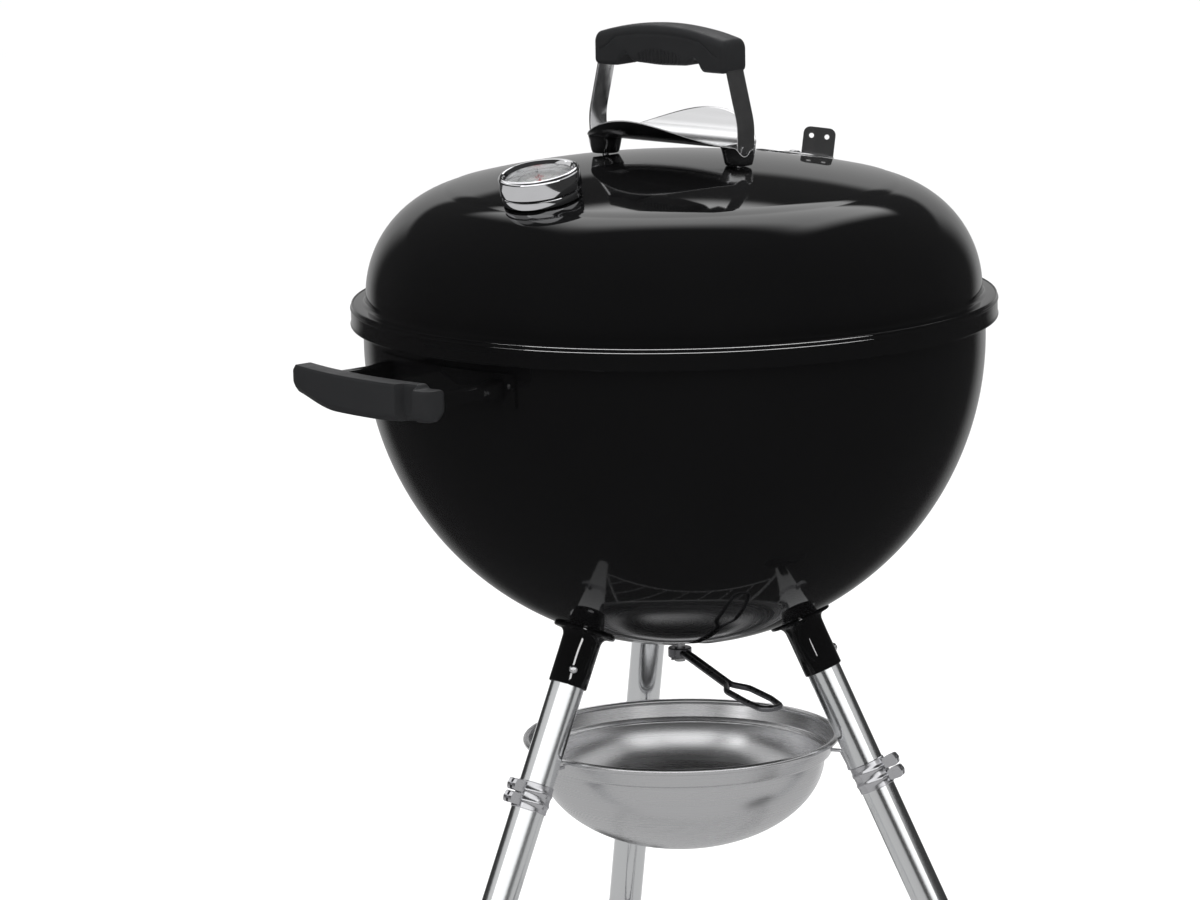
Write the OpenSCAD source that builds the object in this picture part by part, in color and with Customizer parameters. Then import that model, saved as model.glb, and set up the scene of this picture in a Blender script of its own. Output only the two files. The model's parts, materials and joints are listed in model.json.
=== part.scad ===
// Kettle charcoal grill: round bowl and lid on three tube legs, two wheels and an ash pan.
// Millimetres. The origin is on the kettle's axis at ground level, +Z is up.
// The side handle and the leg with the foot are towards -X, the wheels towards +X.

/* [Bowl] */
// Outside diameter of the round bowl
bowl_d = 571.5; // [568:0.5:575]
// Height of the centre of the bowl's sphere above the ground
bowl_centre_z = 780; // [772:1:788]
// Thickness of the enamelled steel sheet
sheet = 1.2; // [1:0.1:1.4]
// Height of the straight wall between the sphere and the rim bead
bowl_wall_h = 33; // [32:0.5:34]

/* [Lid] */
// Outside diameter of the lid's skirt
lid_skirt_d = 595; // [594:0.5:600]
// Radius of the lid's round shoulder
lid_shoulder_r = 100; // [95:1:104]
// Radius of the lid's shallow crown
lid_crown_r = 880; // [840:10:920]
// How far the lid is turned on the bowl, in degrees
lid_turn = 7.5; // [5:0.1:10]
// Distance of the damper and the thermometer from the lid's centre
lid_fitting_r = 178; // [174:1:182]
// Height of the grip's top above the centre of the bowl's sphere
grip_rise = 288; // [284:1:292]

/* [Legs] */
// Outside diameter of the leg tubes
leg_d = 31.75; // [31:0.05:32]
// Lean of each leg from the vertical, in degrees
leg_tilt = 25; // [24:0.25:26]
// Distance from the kettle's axis where a leg meets the bowl
leg_top_r = 117; // [114:1:120]
// Length of the sockets that hold the legs
socket_len = 52; // [48:1:56]

/* [Wheels] */
// Diameter of the wheels
wheel_d = 150; // [146:1:154]
// Width of a wheel's tread
wheel_w = 32; // [30:1:34]
// Diameter of the axle
axle_d = 9.5; // [9:0.1:10]

/* [Ash pan] */
// Diameter of the ash pan over its rolled rim
pan_d = 295; // [290:1:298]
// How far the pan's rim hangs below the centre of the bowl's sphere
pan_hang = 379; // [375:1:383]
// Depth of the ash pan below its rim
pan_depth = 102; // [98:1:106]

/* [Grates] */
// Diameter of the cooking grate
grate_d = 547; // [543:1:549]
// Diameter of the charcoal grate
coal_grate_d = 440; // [436:1:442]

/* [Hidden] */

bowl_r = bowl_d / 2;
bowl_inner_r = bowl_r - sheet;
bead_r = 3.5;
bead_ring_r = bowl_r + bead_r - sheet;
bowl_rim_z = bowl_centre_z + bowl_wall_h;
lid_seat_z = bowl_rim_z + bead_r;
pan_rim_z = bowl_centre_z - pan_hang;
grip_top_z = bowl_centre_z + grip_rise;

// Where the legs stand round the kettle
foot_az = 180;
left_az = 60;
right_az = -60;
leg_r = leg_d / 2;
leg_wall = 1;
leg_top_z = bowl_centre_z - sqrt(bowl_r * bowl_r - leg_top_r * leg_top_r);
socket_r = 18;
socket_bore_r = leg_r + 0.1;
leg_start = 9;
button_s = socket_len * 0.72;
button_turn = 130;
button_r = 3.9;
button_in = 10.5;
button_out = socket_r + 2.6;

// Foot
foot_r = 17.6;
foot_flat_r = 6;
foot_ball_z = sqrt(foot_r * foot_r - foot_flat_r * foot_flat_r);
foot_s = (leg_top_z - foot_ball_z) / cos(leg_tilt);

// Wheels and axle
axle_r = axle_d / 2;
axle_z = wheel_d / 2;
axle_s = (leg_top_z - axle_z) / cos(leg_tilt);
axle_leg_r = leg_top_r + axle_s * sin(leg_tilt);
axle_x = axle_leg_r * cos(left_az);
leg_tail = 14;
wheel_in_y = (leg_top_r + (axle_s + leg_tail) * sin(leg_tilt)) * sin(left_az) + leg_r + 3;
wheel_out_y = wheel_in_y + wheel_w;
hub_r = 15;
running = 0.05;

// Lid outline
lid_wall_r = bowl_r - 2.75;
lid_skirt_r = lid_skirt_d / 2;
lid_step_z = lid_seat_z + sheet + 0.05;
skirt_h = 21;
skirt_round = 4;
shoulder_z = lid_step_z + skirt_round + 2;
shoulder_ring_r = lid_wall_r - lid_shoulder_r;
crown_z = shoulder_z - sqrt(pow(lid_crown_r - lid_shoulder_r, 2) - pow(shoulder_ring_r, 2));
crown_end = acos(shoulder_ring_r / (lid_crown_r - lid_shoulder_r));

// Lid handle
foot_y = 80;
cup_r = 13;
cup_z = crown_z + sqrt(lid_crown_r * lid_crown_r - pow(foot_y - cup_r, 2)) + 0.4;
shield_z = cup_z + 16;
shield_half = 96;
shield_rise = 25;
shield_t = 1;
strap_t = 2.5;
strap_w = 23;
strap_bow_y = 88;
strap_top_y = 70;
grip_half = 78;
grip_w = 34;
grip_end_z = grip_top_z - 11;
grip_low_z = grip_top_z - 41;
grip_belly_z = grip_low_z + 3;
grip_notch_z = grip_low_z + 9;

// Side view of a strap: its foot in the cup, the bow outwards and the end inside the grip
strap_foot_z = cup_z + shield_t + strap_t / 2;
strap_path = [
    [foot_y - 9, strap_foot_z],
    [foot_y + 7, strap_foot_z],
    [strap_bow_y, strap_foot_z + 34],
    [strap_top_y + 2, grip_end_z - 10]
];

// Side handle
side_r = 377;
side_half = 94;
side_curve_r = 410;
side_t = 22;
side_h = 34;
side_z = bowl_centre_z - 7;
arm_y = 74;
arm_t = 16;
arm_h = 26;

// Ash sweeper
sweep_gap = 0.35;
blade_t = 1.2;
vent_in_r = 32;
vent_out_r = 86;
shaft_r = 5;
lever_turn = -104;
lever_z = bowl_centre_z - 298;
lever_drop = 14;
lever_rod_r = 3;
lever_len = 95;
loop_len = 92;
loop_half = 13;

// Ash pan
pan_t = 1;
pan_ball_r = 165;
pan_ball_angle = asin((pan_d / 2 - 29.5) / pan_ball_r);

// Pan clips
clip_z = pan_rim_z - 26;
clip_s = (leg_top_z - clip_z) / cos(leg_tilt);
clip_h = 26;
tongue_r = 1.6;
tongue_z = pan_rim_z - 3 - tongue_r - 0.1;
leg_face = leg_top_r + (leg_top_z - clip_z - 7) * tan(leg_tilt) - leg_r / cos(leg_tilt);

// Grates
grate_z = bowl_centre_z - 10;
coal_z = bowl_centre_z - 174;
ring_r = 3.5;
bar_r = 2.5;
bar_lift = 0.8;

rack_z = 155;
rack_leg_r = leg_top_r + (leg_top_z - rack_z) * tan(leg_tilt);
rack_corner_r = rack_leg_r - 27;
wire_r = 3;

// ---- helpers ----

// Points of an arc about (cx, cy), from angle a to angle b, in n steps
function arc(cx, cy, r, a, b, n) = [for (i = [0 : n]) [cx + r * cos(a + (b - a) * i / n), cy + r * sin(a + (b - a) * i / n)]];

// Height of the lid's crown above the ground, at a distance from the axis
function lid_z(r) = crown_z + sqrt(lid_crown_r * lid_crown_r - r * r);

// A rod from point a to point b, round unless it gets a small number of sides
module rod(a, b, r, sides = 48) {
    d = b - a;
    translate(a)
        rotate([0, acos(d[2] / norm(d)), atan2(d[1], d[0])])
            cylinder(r = r, h = norm(d), $fn = sides);
}

// A bent rod through a list of points, with a slightly swollen bend at each inner point
module bent_rod(points, r) {
    for (i = [0 : len(points) - 2]) rod(points[i], points[i + 1], r);
    for (i = [1 : len(points) - 2]) bend(points[i], r);
}

module bend(point, r) {
    translate(point) sphere(r = 1.05 * r, $fn = 48);
}

// A thin bent wire with eight flats; each length runs a little past its bends
module bent_wire(points, r) {
    for (i = [0 : len(points) - 2]) {
        step = unit(points[i + 1] - points[i]) * r * 0.45;
        rod(points[i] - step, points[i + 1] + step, r, 8);
    }
}

// Outline of a strip of thickness t that follows a path, with mitred corners
function unit(v) = v / norm(v);
function left(v) = [-v[1], v[0]];
function mitre(p, i, t) = let (
    a = i > 0 ? unit(p[i] - p[i - 1]) : unit(p[1] - p[0]),
    b = i < len(p) - 1 ? unit(p[i + 1] - p[i]) : a,
    m = unit(left(a) + left(b))
) p[i] + m * t / (m * left(a));
function strip(p, t) = concat(
    [for (i = [0 : len(p) - 1]) mitre(p, i, t / 2)],
    [for (i = [len(p) - 1 : -1 : 0]) mitre(p, i, -t / 2)]
);

module tube(r_out, r_in, h) {
    difference() {
        cylinder(r = r_out, h = h, $fn = 96);
        translate([0, 0, -1]) cylinder(r = r_in, h = h + 2, $fn = 96);
    }
}

module ring(ring_radius, wire_radius) {
    rotate_extrude($fn = 180) translate([ring_radius, 0]) circle(r = wire_radius, $fn = 48);
}

// Leg frame: starts on the bowl's skin, +Z runs down along the leg, -X faces outwards
module at_leg(azimuth) {
    rotate([0, 0, azimuth])
        translate([leg_top_r, 0, leg_top_z])
            rotate([0, 180 - leg_tilt, 0])
                children();
}

// Snap-button frame: +Z points out of the side of the leg
module at_button(azimuth) {
    at_leg(azimuth) translate([0, 0, button_s]) rotate([0, 0, button_turn]) rotate([0, 90, 0]) children();
}

module in_lid() {
    rotate([0, 0, lid_turn]) children();
}

// Frame on the lid's crown at a distance from its centre, +Z along the outward normal
module on_crown(r) {
    in_lid() translate([r, 0, lid_z(abs(r))]) rotate([0, asin(r / lid_crown_r), 0]) children();
}

// Six-sided nut with a round bore
module nut(across, bore_r, h) {
    difference() {
        cylinder(r = across / 2 / cos(30), h = h, $fn = 6);
        translate([0, 0, -1]) cylinder(r = bore_r, h = h + 2, $fn = 48);
    }
}

// ---- bowl ----

function bowl_half(r, wall_top) = concat(
    arc(0, bowl_centre_z, r, -90, 0, 36),
    [[r, wall_top]]
);

module bowl() {
    color("#101010") difference() {
        union() {
            rotate_extrude($fn = 180) difference() {
                polygon(concat(bowl_half(bowl_r, bowl_rim_z), [[0, bowl_rim_z]]));
                polygon(concat(bowl_half(bowl_inner_r, bowl_rim_z + 1), [[0, bowl_rim_z + 1]]));
            }
            translate([0, 0, bowl_rim_z]) ring(bead_ring_r, bead_r);
        }
        vent_slots();
        translate([0, 0, bowl_centre_z - bowl_r - 5]) cylinder(r = shaft_r + running, h = 10, $fn = 64);
        for (y = [-arm_y, arm_y]) side_handle_screw_line(y) cylinder(r = 2.6, h = 30, $fn = 48);
    }
}

// Wedge-shaped outline that vents and sweeper blades share
module wedge(r_in, r_out, half_angle) {
    intersection() {
        difference() {
            circle(r = r_out, $fn = 96);
            circle(r = r_in, $fn = 96);
        }
        polygon([[0, 0], [2 * r_out * cos(half_angle), -2 * r_out * sin(half_angle)],
            [2 * r_out * cos(half_angle), 2 * r_out * sin(half_angle)]]);
    }
}

module vent_slots() {
    for (a = [0, 120, 240])
        rotate([0, 0, a])
            translate([0, 0, bowl_centre_z - bowl_r - 5])
                linear_extrude(height = 40) wedge(vent_in_r, vent_out_r, 14);
}

module grate_brackets() {
    color("#181818") for (a = [45, 135, 225, 315]) rotate([0, 0, a]) intersection() {
        union() {
            translate([grate_d / 2 - 16, -12, grate_z - ring_r - 2]) cube([60, 24, 2]);
            translate([bowl_inner_r - 2.5, -12, grate_z - ring_r - 24]) cube([20, 24, 24]);
        }
        translate([0, 0, bowl_centre_z]) sphere(r = bowl_inner_r - 0.15, $fn = 360);
    }
}

module coal_brackets() {
    color("#181818") for (a = [0, 90, 180, 270]) rotate([0, 0, a]) intersection() {
        translate([coal_grate_d / 2 - 14, -10, coal_z - ring_r - 2]) cube([60, 20, 2]);
        translate([0, 0, bowl_centre_z]) sphere(r = bowl_inner_r - 0.15, $fn = 180);
    }
}

// ---- side handle ----

module side_handle_screw_line(y) {
    rotate([0, 0, 180 - asin(y / bowl_r)])
        translate([bowl_inner_r - 2, 0, side_z])
            rotate([0, 90, 0])
                children();
}

module side_handle_bracket() {
    color("#141414") difference() {
        translate([0, 0, side_z - 15]) intersection() {
            tube(bowl_r + 2.5, bowl_r + 0.05, 30);
            translate([-bowl_r - 10, -arm_y - 18, -1]) cube([bowl_r, 2 * arm_y + 36, 32]);
        }
        for (y = [-arm_y, arm_y]) side_handle_screw_line(y) cylinder(r = 2.6, h = 30, $fn = 48);
    }
}

// Moulded grip: a curved bar and two arms that reach back to the bracket
module side_handle() {
    color("#26282a") difference() {
        union() {
            translate([-side_r + side_curve_r, 0, side_z])
                rotate([0, 0, 180 - asin(side_half / side_curve_r)])
                    rotate_extrude(angle = 2 * asin(side_half / side_curve_r), $fn = 180)
                        translate([side_curve_r - side_t / 2, -side_h / 2])
                            polygon([[4, 0], [side_t - 4, 0], [side_t, 6], [side_t, side_h - 6],
                                [side_t - 4, side_h], [4, side_h], [0, side_h - 6], [0, 6]]);
            for (y = [-arm_y, arm_y])
                translate([-side_r + 6, y - arm_t / 2, side_z - arm_h / 2])
                    cube([side_r - bowl_r + 10, arm_t, arm_h]);
        }
        translate([0, 0, side_z - 40]) cylinder(r = bowl_r + 2.6, h = 80, $fn = 180);
        for (y = [-arm_y, arm_y]) side_handle_screw_line(y) cylinder(r = 2.4, h = 30, $fn = 48);
    }
}

module side_handle_screws() {
    color("silver") for (y = [-arm_y, arm_y]) side_handle_screw_line(y) {
        translate([0, 0, -1]) cylinder(r = 5.5, h = 2.4, $fn = 48);
        cylinder(r = 2.4, h = 26, $fn = 48);
    }
}

// ---- legs ----

module button_hole(azimuth) {
    at_button(azimuth) cylinder(r = button_r + running, h = 30, $fn = 48);
}

// Socket: a sleeve with a dished flange welded to the bowl
module socket(azimuth) {
    color("#101010") difference() {
        union() {
            at_leg(azimuth) translate([0, 0, -12]) cylinder(r = socket_r, h = socket_len + 12, $fn = 96);
            intersection() {
                translate([0, 0, bowl_centre_z]) sphere(r = bowl_r + 3, $fn = 180);
                at_leg(azimuth) translate([0, 0, -12]) cylinder(r = 29, h = 30, $fn = 96);
            }
        }
        translate([0, 0, bowl_centre_z]) sphere(r = bowl_r, $fn = 180);
        at_leg(azimuth) translate([0, 0, leg_start - 1]) cylinder(r = socket_bore_r, h = socket_len, $fn = 96);
        button_hole(azimuth);
    }
}

// Leg tube with its snap-button hole and the hole for the rack's pin
module leg(azimuth, length) {
    color("#c8cacc") difference() {
        at_leg(azimuth) translate([0, 0, leg_start]) tube(leg_r, leg_r - leg_wall, length - leg_start);
        button_hole(azimuth);
        rotate([0, 0, azimuth]) rod([rack_corner_r, 0, rack_z], [rack_leg_r, 0, rack_z], wire_r + 0.1);
        if (azimuth != foot_az)
            translate([axle_x, 0, axle_z]) rotate([90, 0, 0]) cylinder(r = axle_r + 0.2, h = 800, center = true, $fn = 64);
    }
}

// Plastic cap with a round nose, pushed over the end of the foot leg
module foot_cap() {
    color("#202020") difference() {
        union() {
            at_leg(foot_az) translate([0, 0, foot_s - 36]) cylinder(r = foot_r, h = 36, $fn = 96);
            at_leg(foot_az) translate([0, 0, foot_s]) sphere(r = foot_r, $fn = 96);
        }
        at_leg(foot_az) translate([0, 0, foot_s - 40]) cylinder(r = leg_r, h = 40, $fn = 96);
        translate([-500, -50, -20]) cube([500, 100, 20]);
    }
}

// ---- snap buttons ----

module snap_button(azimuth) {
    color("silver") at_button(azimuth) {
        translate([0, 0, button_in]) cylinder(r = button_r, h = button_out - button_in, $fn = 48);
        translate([0, 0, button_in]) cylinder(r = 5.2, h = 1.6, $fn = 48);
        translate([0, 0, button_out]) intersection() {
            translate([0, 0, -button_r]) sphere(r = button_r * sqrt(2), $fn = 48);
            cylinder(r = button_r, h = 4, $fn = 48);
        }
    }
}

// Leaf spring that pushes the button outwards, folded like a narrow V
module button_spring(azimuth) {
    color("#8a8c90") at_button(azimuth) {
        translate([-30, -4, button_in - 0.9]) cube([34, 8, 0.8]);
        translate([-30, -4, -12.6]) cube([0.8, 8, 12.6 + button_in - 0.1]);
        translate([-30, -4, -12.6]) cube([44, 8, 0.8]);
    }
}

// ---- wheels and axle ----

module axle() {
    color("#b8babc") translate([axle_x, 0, axle_z]) rotate([90, 0, 0])
        cylinder(r = axle_r, h = 2 * (wheel_out_y + 3), center = true, $fn = 64);
}

module push_nuts() {
    color("#9a9c9e") for (side = [-1, 1])
        translate([axle_x, side * (wheel_out_y + 0.5), axle_z]) rotate([-90 * side, 0, 0])
            difference() {
                cylinder(r = 9, h = 1.4, $fn = 48);
                translate([0, 0, -1]) cylinder(r = axle_r, h = 4, $fn = 64);
            }
}

// Moulded wheel: rounded tread, thin web, six ribs on each face and a bored hub
module wheel(side) {
    half = wheel_w / 2;
    color("#1c1c1c") translate([axle_x, side * (wheel_in_y + half), axle_z]) rotate([90, 0, 0]) difference() {
        union() {
            rotate_extrude($fn = 180) polygon(concat(
                [[wheel_d / 2 - 9, -half]],
                arc(wheel_d / 2 - 5, -half + 5, 5, -90, 0, 5),
                arc(wheel_d / 2 - 5, half - 5, 5, 0, 90, 5),
                [[wheel_d / 2 - 9, half], [wheel_d / 2 - 12, 3], [hub_r - 3, 3], [hub_r - 3, -3], [wheel_d / 2 - 12, -3]]
            ));
            cylinder(r = hub_r, h = wheel_w, center = true, $fn = 96);
            for (a = [0 : 60 : 300])
                rotate([0, 0, a]) translate([hub_r - 2, -2, -half + 3]) cube([wheel_d / 2 - hub_r - 7, 4, wheel_w - 6]);
        }
        cylinder(r = axle_r + running, h = wheel_w + 2, center = true, $fn = 64);
    }
}

// Domed cap that snaps over the hub and hides the push nut
module hub_cap(side) {
    color("#a8aaac") translate([axle_x, side * wheel_out_y, axle_z]) rotate([-90 * side, 0, 0]) difference() {
        union() {
            cylinder(r = 19, h = 3, $fn = 96);
            rotate_extrude($fn = 96) intersection() {
                translate([0, -28]) circle(r = 34, $fn = 180);
                translate([0, 3]) square([19, 10]);
            }
        }
        translate([0, 0, -1]) cylinder(r = 11, h = 5, $fn = 96);
    }
}

// ---- bottom rack ----

// Triangle of heavy wire pinned into the legs, with lighter wires across it
module bottom_rack() {
    corner = [for (a = [foot_az, left_az, right_az]) [rack_corner_r * cos(a), rack_corner_r * sin(a), rack_z]];
    pin = [for (a = [foot_az, left_az, right_az])
        [(rack_leg_r - 4) * cos(a), (rack_leg_r - 4) * sin(a), rack_z]];
    slope = (corner[1][0] - corner[0][0]) / corner[1][1];
    color("#b0b2b4") {
        for (i = [0 : 2]) {
            rod(corner[i], corner[(i + 1) % 3], wire_r, 8);
            rod(corner[i], pin[i], wire_r - 0.2, 8);
        }
        for (k = [1 : 7]) {
            y = corner[1][1] * k / 8;
            x = corner[0][0] + slope * y;
            rod([x, -y, rack_z + 0.3], [x, y, rack_z + 0.3], 2, 8);
        }
    }
}

// ---- ash pan and its clips ----

// Spring band round the leg with two ears outside and a tongue under the pan's rim
module pan_clip(azimuth) {
    color("#9c9ea0") {
        difference() {
            union() {
                at_leg(azimuth) translate([0, 0, clip_s - clip_h / 2]) cylinder(r = leg_r + 1, h = clip_h, $fn = 96);
                at_leg(azimuth) for (s = [-1, 1])
                    translate([-leg_r - 14, -5.5, clip_s + 6 * s - 5.5]) cube([18, 11, 11]);
                rotate([0, 0, azimuth]) bent_wire([[pan_d / 2 - 2.5, 0, tongue_z], [pan_d / 2 + 3, 0, tongue_z],
                    [leg_face - 0.8, 0, clip_z + 9], [leg_face + 3, 0, clip_z + 3]], tongue_r);
            }
            at_leg(azimuth) translate([0, 0, clip_s - 60]) cylinder(r = leg_r, h = 120, $fn = 96);
        }
    }
}

// Pressed pan: round bottom, a steeper wall, a stepped upright band and a rolled rim
function pan_outline(t) = concat(
    arc(0, pan_rim_z - pan_depth + pan_ball_r, pan_ball_r - t, -90, -90 + pan_ball_angle, 14),
    [[pan_d / 2 - 14.5 - t, pan_rim_z - 17 + t / 2], [pan_d / 2 - 8 - t, pan_rim_z - 15 + t], [pan_d / 2 - 4 - t, pan_rim_z - 1]]
);

module ash_pan() {
    color("#b9bbbd") union() {
        rotate_extrude($fn = 180) difference() {
            polygon(concat(pan_outline(0), [[0, pan_rim_z]]));
            polygon(concat(pan_outline(pan_t), [[pan_d / 2 - 4, pan_rim_z + 5], [0, pan_rim_z + 5]]));
        }
        translate([0, 0, pan_rim_z]) ring(pan_d / 2 - 3, 3);
    }
}

// ---- ash sweeper ----

module sweeper_blades() {
    outer = bowl_inner_r - sweep_gap;
    color("#8e9092") difference() {
        intersection() {
            translate([0, 0, bowl_centre_z]) sphere(r = outer, $fn = 180);
            translate([0, 0, bowl_centre_z - bowl_r]) linear_extrude(height = 60) union() {
                for (a = [0, 120, 240]) rotate([0, 0, a]) wedge(vent_in_r - 14, vent_out_r + 6, 18);
                circle(r = vent_in_r - 8, $fn = 96);
            }
        }
        translate([0, 0, bowl_centre_z]) sphere(r = outer - blade_t, $fn = 180);
        translate([0, 0, bowl_centre_z - bowl_r]) cylinder(r = shaft_r, h = 30, $fn = 64);
    }
}

module sweeper_hub() {
    top = bowl_centre_z - bowl_inner_r + 8;
    color("#6f7173") difference() {
        union() {
            translate([0, 0, lever_z - 9]) cylinder(r = shaft_r, h = top - lever_z + 9, $fn = 64);
            translate([0, 0, top - 6 + blade_t]) cylinder(r = 11, h = 5, $fn = 64);
        }
        rotate([0, 0, lever_turn + 90]) rod([-9, 0, lever_z - 6.6], [9, 0, lever_z - 6.6], 1.25);
    }
}

// Rod lever clamped under the bowl, ending in a flat finger loop
module ash_lever() {
    r1 = lever_len;
    r2 = lever_len + loop_len;
    z1 = lever_z - lever_drop;
    z2 = z1 - 6;
    color("#3a3a3c") difference() {
        rotate([0, 0, lever_turn]) {
            translate([0, 0, lever_z - 5]) cylinder(r = 11, h = 9, $fn = 64);
            bent_wire([[8, 0, lever_z], [r1, 0, z1], [r1 + 34, loop_half, z1 - 2], [r2 - 10, loop_half, z2],
                [r2 - 10, -loop_half, z2], [r1 + 34, -loop_half, z1 - 2], [r1, 0, z1]], lever_rod_r);
        }
        translate([0, 0, lever_z - 20]) cylinder(r = shaft_r, h = 40, $fn = 64);
    }
}

module cotter_pin() {
    color("silver") rotate([0, 0, lever_turn + 90])
        rod([-9, 0, lever_z - 6.6], [9, 0, lever_z - 6.6], 1.2);
}

// ---- grates ----

module bars(radius, pitch, count, r, z) {
    for (i = [0 : count - 1]) {
        x = (i - (count - 1) / 2) * pitch;
        y = sqrt(radius * radius - x * x);
        rod([x, -y, z], [x, y, z], r);
    }
}

module cross_rod(radius, x, z) {
    y = sqrt(radius * radius - x * x);
    rod([-y, x, z - 0.4], [y, x, z - 0.4], ring_r - 0.6);
}

module coal_grate() {
    radius = coal_grate_d / 2 - ring_r;
    color("#7c7e80") {
        translate([0, 0, coal_z]) ring(radius, ring_r);
        bars(radius, 29, 14, bar_r, coal_z + bar_lift);
        for (x = [-90, 90]) cross_rod(radius, x, coal_z);
    }
}

module cooking_grate() {
    radius = grate_d / 2 - ring_r;
    color("#a4a6a8") {
        translate([0, 0, grate_z]) ring(radius, ring_r);
        bars(radius, 20.5, 26, bar_r, grate_z + bar_lift);
        for (x = [-110, 110]) cross_rod(radius, x, grate_z);
    }
}

// Two wire bails welded to the cooking grate's ring
module grate_handles() {
    r = grate_d / 2 - ring_r;
    foot_x = sqrt(r * r - 45 * 45);
    color("#a4a6a8") for (side = [0, 180]) rotate([0, 0, side])
        bent_rod([[foot_x - 2.7, -45, grate_z + 3.3], [foot_x - 26, -45, grate_z + 32],
            [foot_x - 26, 45, grate_z + 32], [foot_x - 2.7, 45, grate_z + 3.3]], ring_r);
}

// ---- lid ----

// Outside of the lid from its top centre to the lower edge of the skirt; t moves it inwards
function lid_outline(t) = concat(
    arc(0, crown_z, lid_crown_r - t, 90, crown_end, 8),
    arc(shoulder_ring_r, shoulder_z, lid_shoulder_r - t, crown_end - crown_end / 14, 0, 13),
    arc(lid_wall_r + skirt_round, lid_step_z + skirt_round, skirt_round + t, 180, 270, 5),
    arc(lid_skirt_r - skirt_round, lid_step_z - skirt_round, skirt_round - t, 90, 0, 5),
    [[lid_skirt_r - t, lid_step_z - skirt_h]]
);

module lid_shell() {
    low = lid_step_z - skirt_h;
    color("#0e0e0e") difference() {
        union() {
            rotate_extrude($fn = 180) difference() {
                polygon(concat(lid_outline(0), [[0, low]]));
                polygon(concat(lid_outline(sheet), [[lid_skirt_r - sheet, low - 1], [0, low - 1]]));
            }
            translate([0, 0, low + 1.2]) ring(lid_skirt_r - 1.9, 1.9);
        }
        on_crown(lid_fitting_r) damper_holes();
        on_crown(lid_fitting_r) translate([0, 0, -5]) cylinder(r = 2.95, h = 10, $fn = 48);
        on_crown(-lid_fitting_r) translate([0, 0, -9]) cylinder(r = 4, h = 18, $fn = 48);
        in_lid() for (y = [-foot_y, foot_y]) translate([0, y, cup_z - 20]) cylinder(r = 3.2, h = 30, $fn = 48);
    }
}

// Bent wire inside the lid that hangs it on the bowl's rim
module lid_hook() {
    hook_r = 238;
    top = shoulder_z + sqrt(pow(lid_shoulder_r - sheet, 2) - pow(hook_r + 3 - shoulder_ring_r, 2)) - 1;
    color("#8c8e90") in_lid() rotate([0, 0, -90])
        bent_wire([[hook_r, -12, top], [hook_r, -12, top - 36], [hook_r - 12, -12, top - 42],
            [hook_r - 12, 12, top - 42], [hook_r, 12, top - 36], [hook_r, 12, top]], 2.5);
}

// Saddle-shaped shield under the grip with a pressed cup at each strap
module heat_shield() {
    trough_r = (62 * 62 + shield_rise * shield_rise) / (2 * shield_rise);
    color("#c6c8ca") in_lid() difference() {
        union() {
            intersection() {
                translate([0, 0, shield_z + trough_r]) rotate([90, 0, 0]) difference() {
                    cylinder(r = trough_r, h = 2 * shield_half, center = true, $fn = 180);
                    cylinder(r = trough_r - shield_t, h = 3 * shield_half, center = true, $fn = 180);
                }
                translate([0, 0, shield_z - 5]) linear_extrude(height = shield_rise + 12) intersection() {
                    translate([-62 + 105, 0]) circle(r = 105, $fn = 180);
                    translate([62 - 105, 0]) circle(r = 105, $fn = 180);
                    square([124, 2 * shield_half], center = true);
                }
            }
            for (y = [-foot_y, foot_y]) translate([0, y, 0]) cylinder_between(cup_z, shield_z + 2, cup_r, cup_r + 3);
        }
        for (y = [-foot_y, foot_y]) translate([0, y, 0]) {
            cylinder_between(cup_z + shield_t, shield_z + 4, cup_r - shield_t, cup_r + 2.4);
            translate([0, 0, cup_z - 5]) cylinder(r = 3.2, h = 20, $fn = 48);
        }
    }
}

module cylinder_between(z1, z2, r1, r2) {
    translate([0, 0, z1]) cylinder(r1 = r1, r2 = r2, h = z2 - z1, $fn = 96);
}

module handle_bolts() {
    z = cup_z + shield_t + strap_t;
    color("silver") in_lid() for (y = [-foot_y, foot_y]) translate([0, y, 0]) {
        translate([0, 0, z]) cylinder(r = 5.1, h = 3, $fn = 48);
        translate([0, 0, z - 18]) cylinder(r = 3, h = 18, $fn = 48);
    }
}

module handle_nuts() {
    z = lid_z(foot_y + 9) - sheet - 6.2;
    color("silver") in_lid() for (y = [-foot_y, foot_y]) translate([0, y, z]) nut(10, 3, 5.5);
}

// Both straps, or the pockets that hold them, grown by a gap
module straps(gap) {
    in_lid() for (side = [-1, 1]) scale([1, side, 1])
        rotate([90, 0, 90])
            translate([0, 0, -strap_w / 2 - gap])
                linear_extrude(height = strap_w + 2 * gap) polygon(strip(strap_path, strap_t + 2 * gap));
}

// Bowed steel straps from the cups up into the grip
module handle_straps() {
    color("#b4b6b8") difference() {
        straps(0);
        in_lid() for (y = [-foot_y, foot_y]) translate([0, y, cup_z - 5]) cylinder(r = 3.2, h = 20, $fn = 48);
        in_lid() for (y = [-foot_y, foot_y]) strap_foot_trim(y);
        in_lid() for (y = [-strap_top_y, strap_top_y])
            translate([0, y, grip_low_z + 12]) rotate([y > 0 ? 90 : -90, 0, 0])
                translate([0, 0, -9]) cylinder(r = 2.3, h = 15, $fn = 48);
    }
}

// Takes the corners off a strap's foot, so that it fits in the round cup
module strap_foot_trim(y) {
    translate([0, y, cup_z - 1]) difference() {
        translate([-20, -20, 0]) cube([40, 40, 14]);
        translate([0, 0, -1]) cylinder(r = cup_r - shield_t - 0.3, h = 30, $fn = 96);
    }
}

module grip_screws() {
    color("silver") in_lid() for (y = [-strap_top_y, strap_top_y])
        translate([0, y, grip_low_z + 12]) rotate([y > 0 ? 90 : -90, 0, 0]) {
            translate([0, 0, -7]) cylinder(r = 2.2, h = 13, $fn = 48);
        }
}

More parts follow.
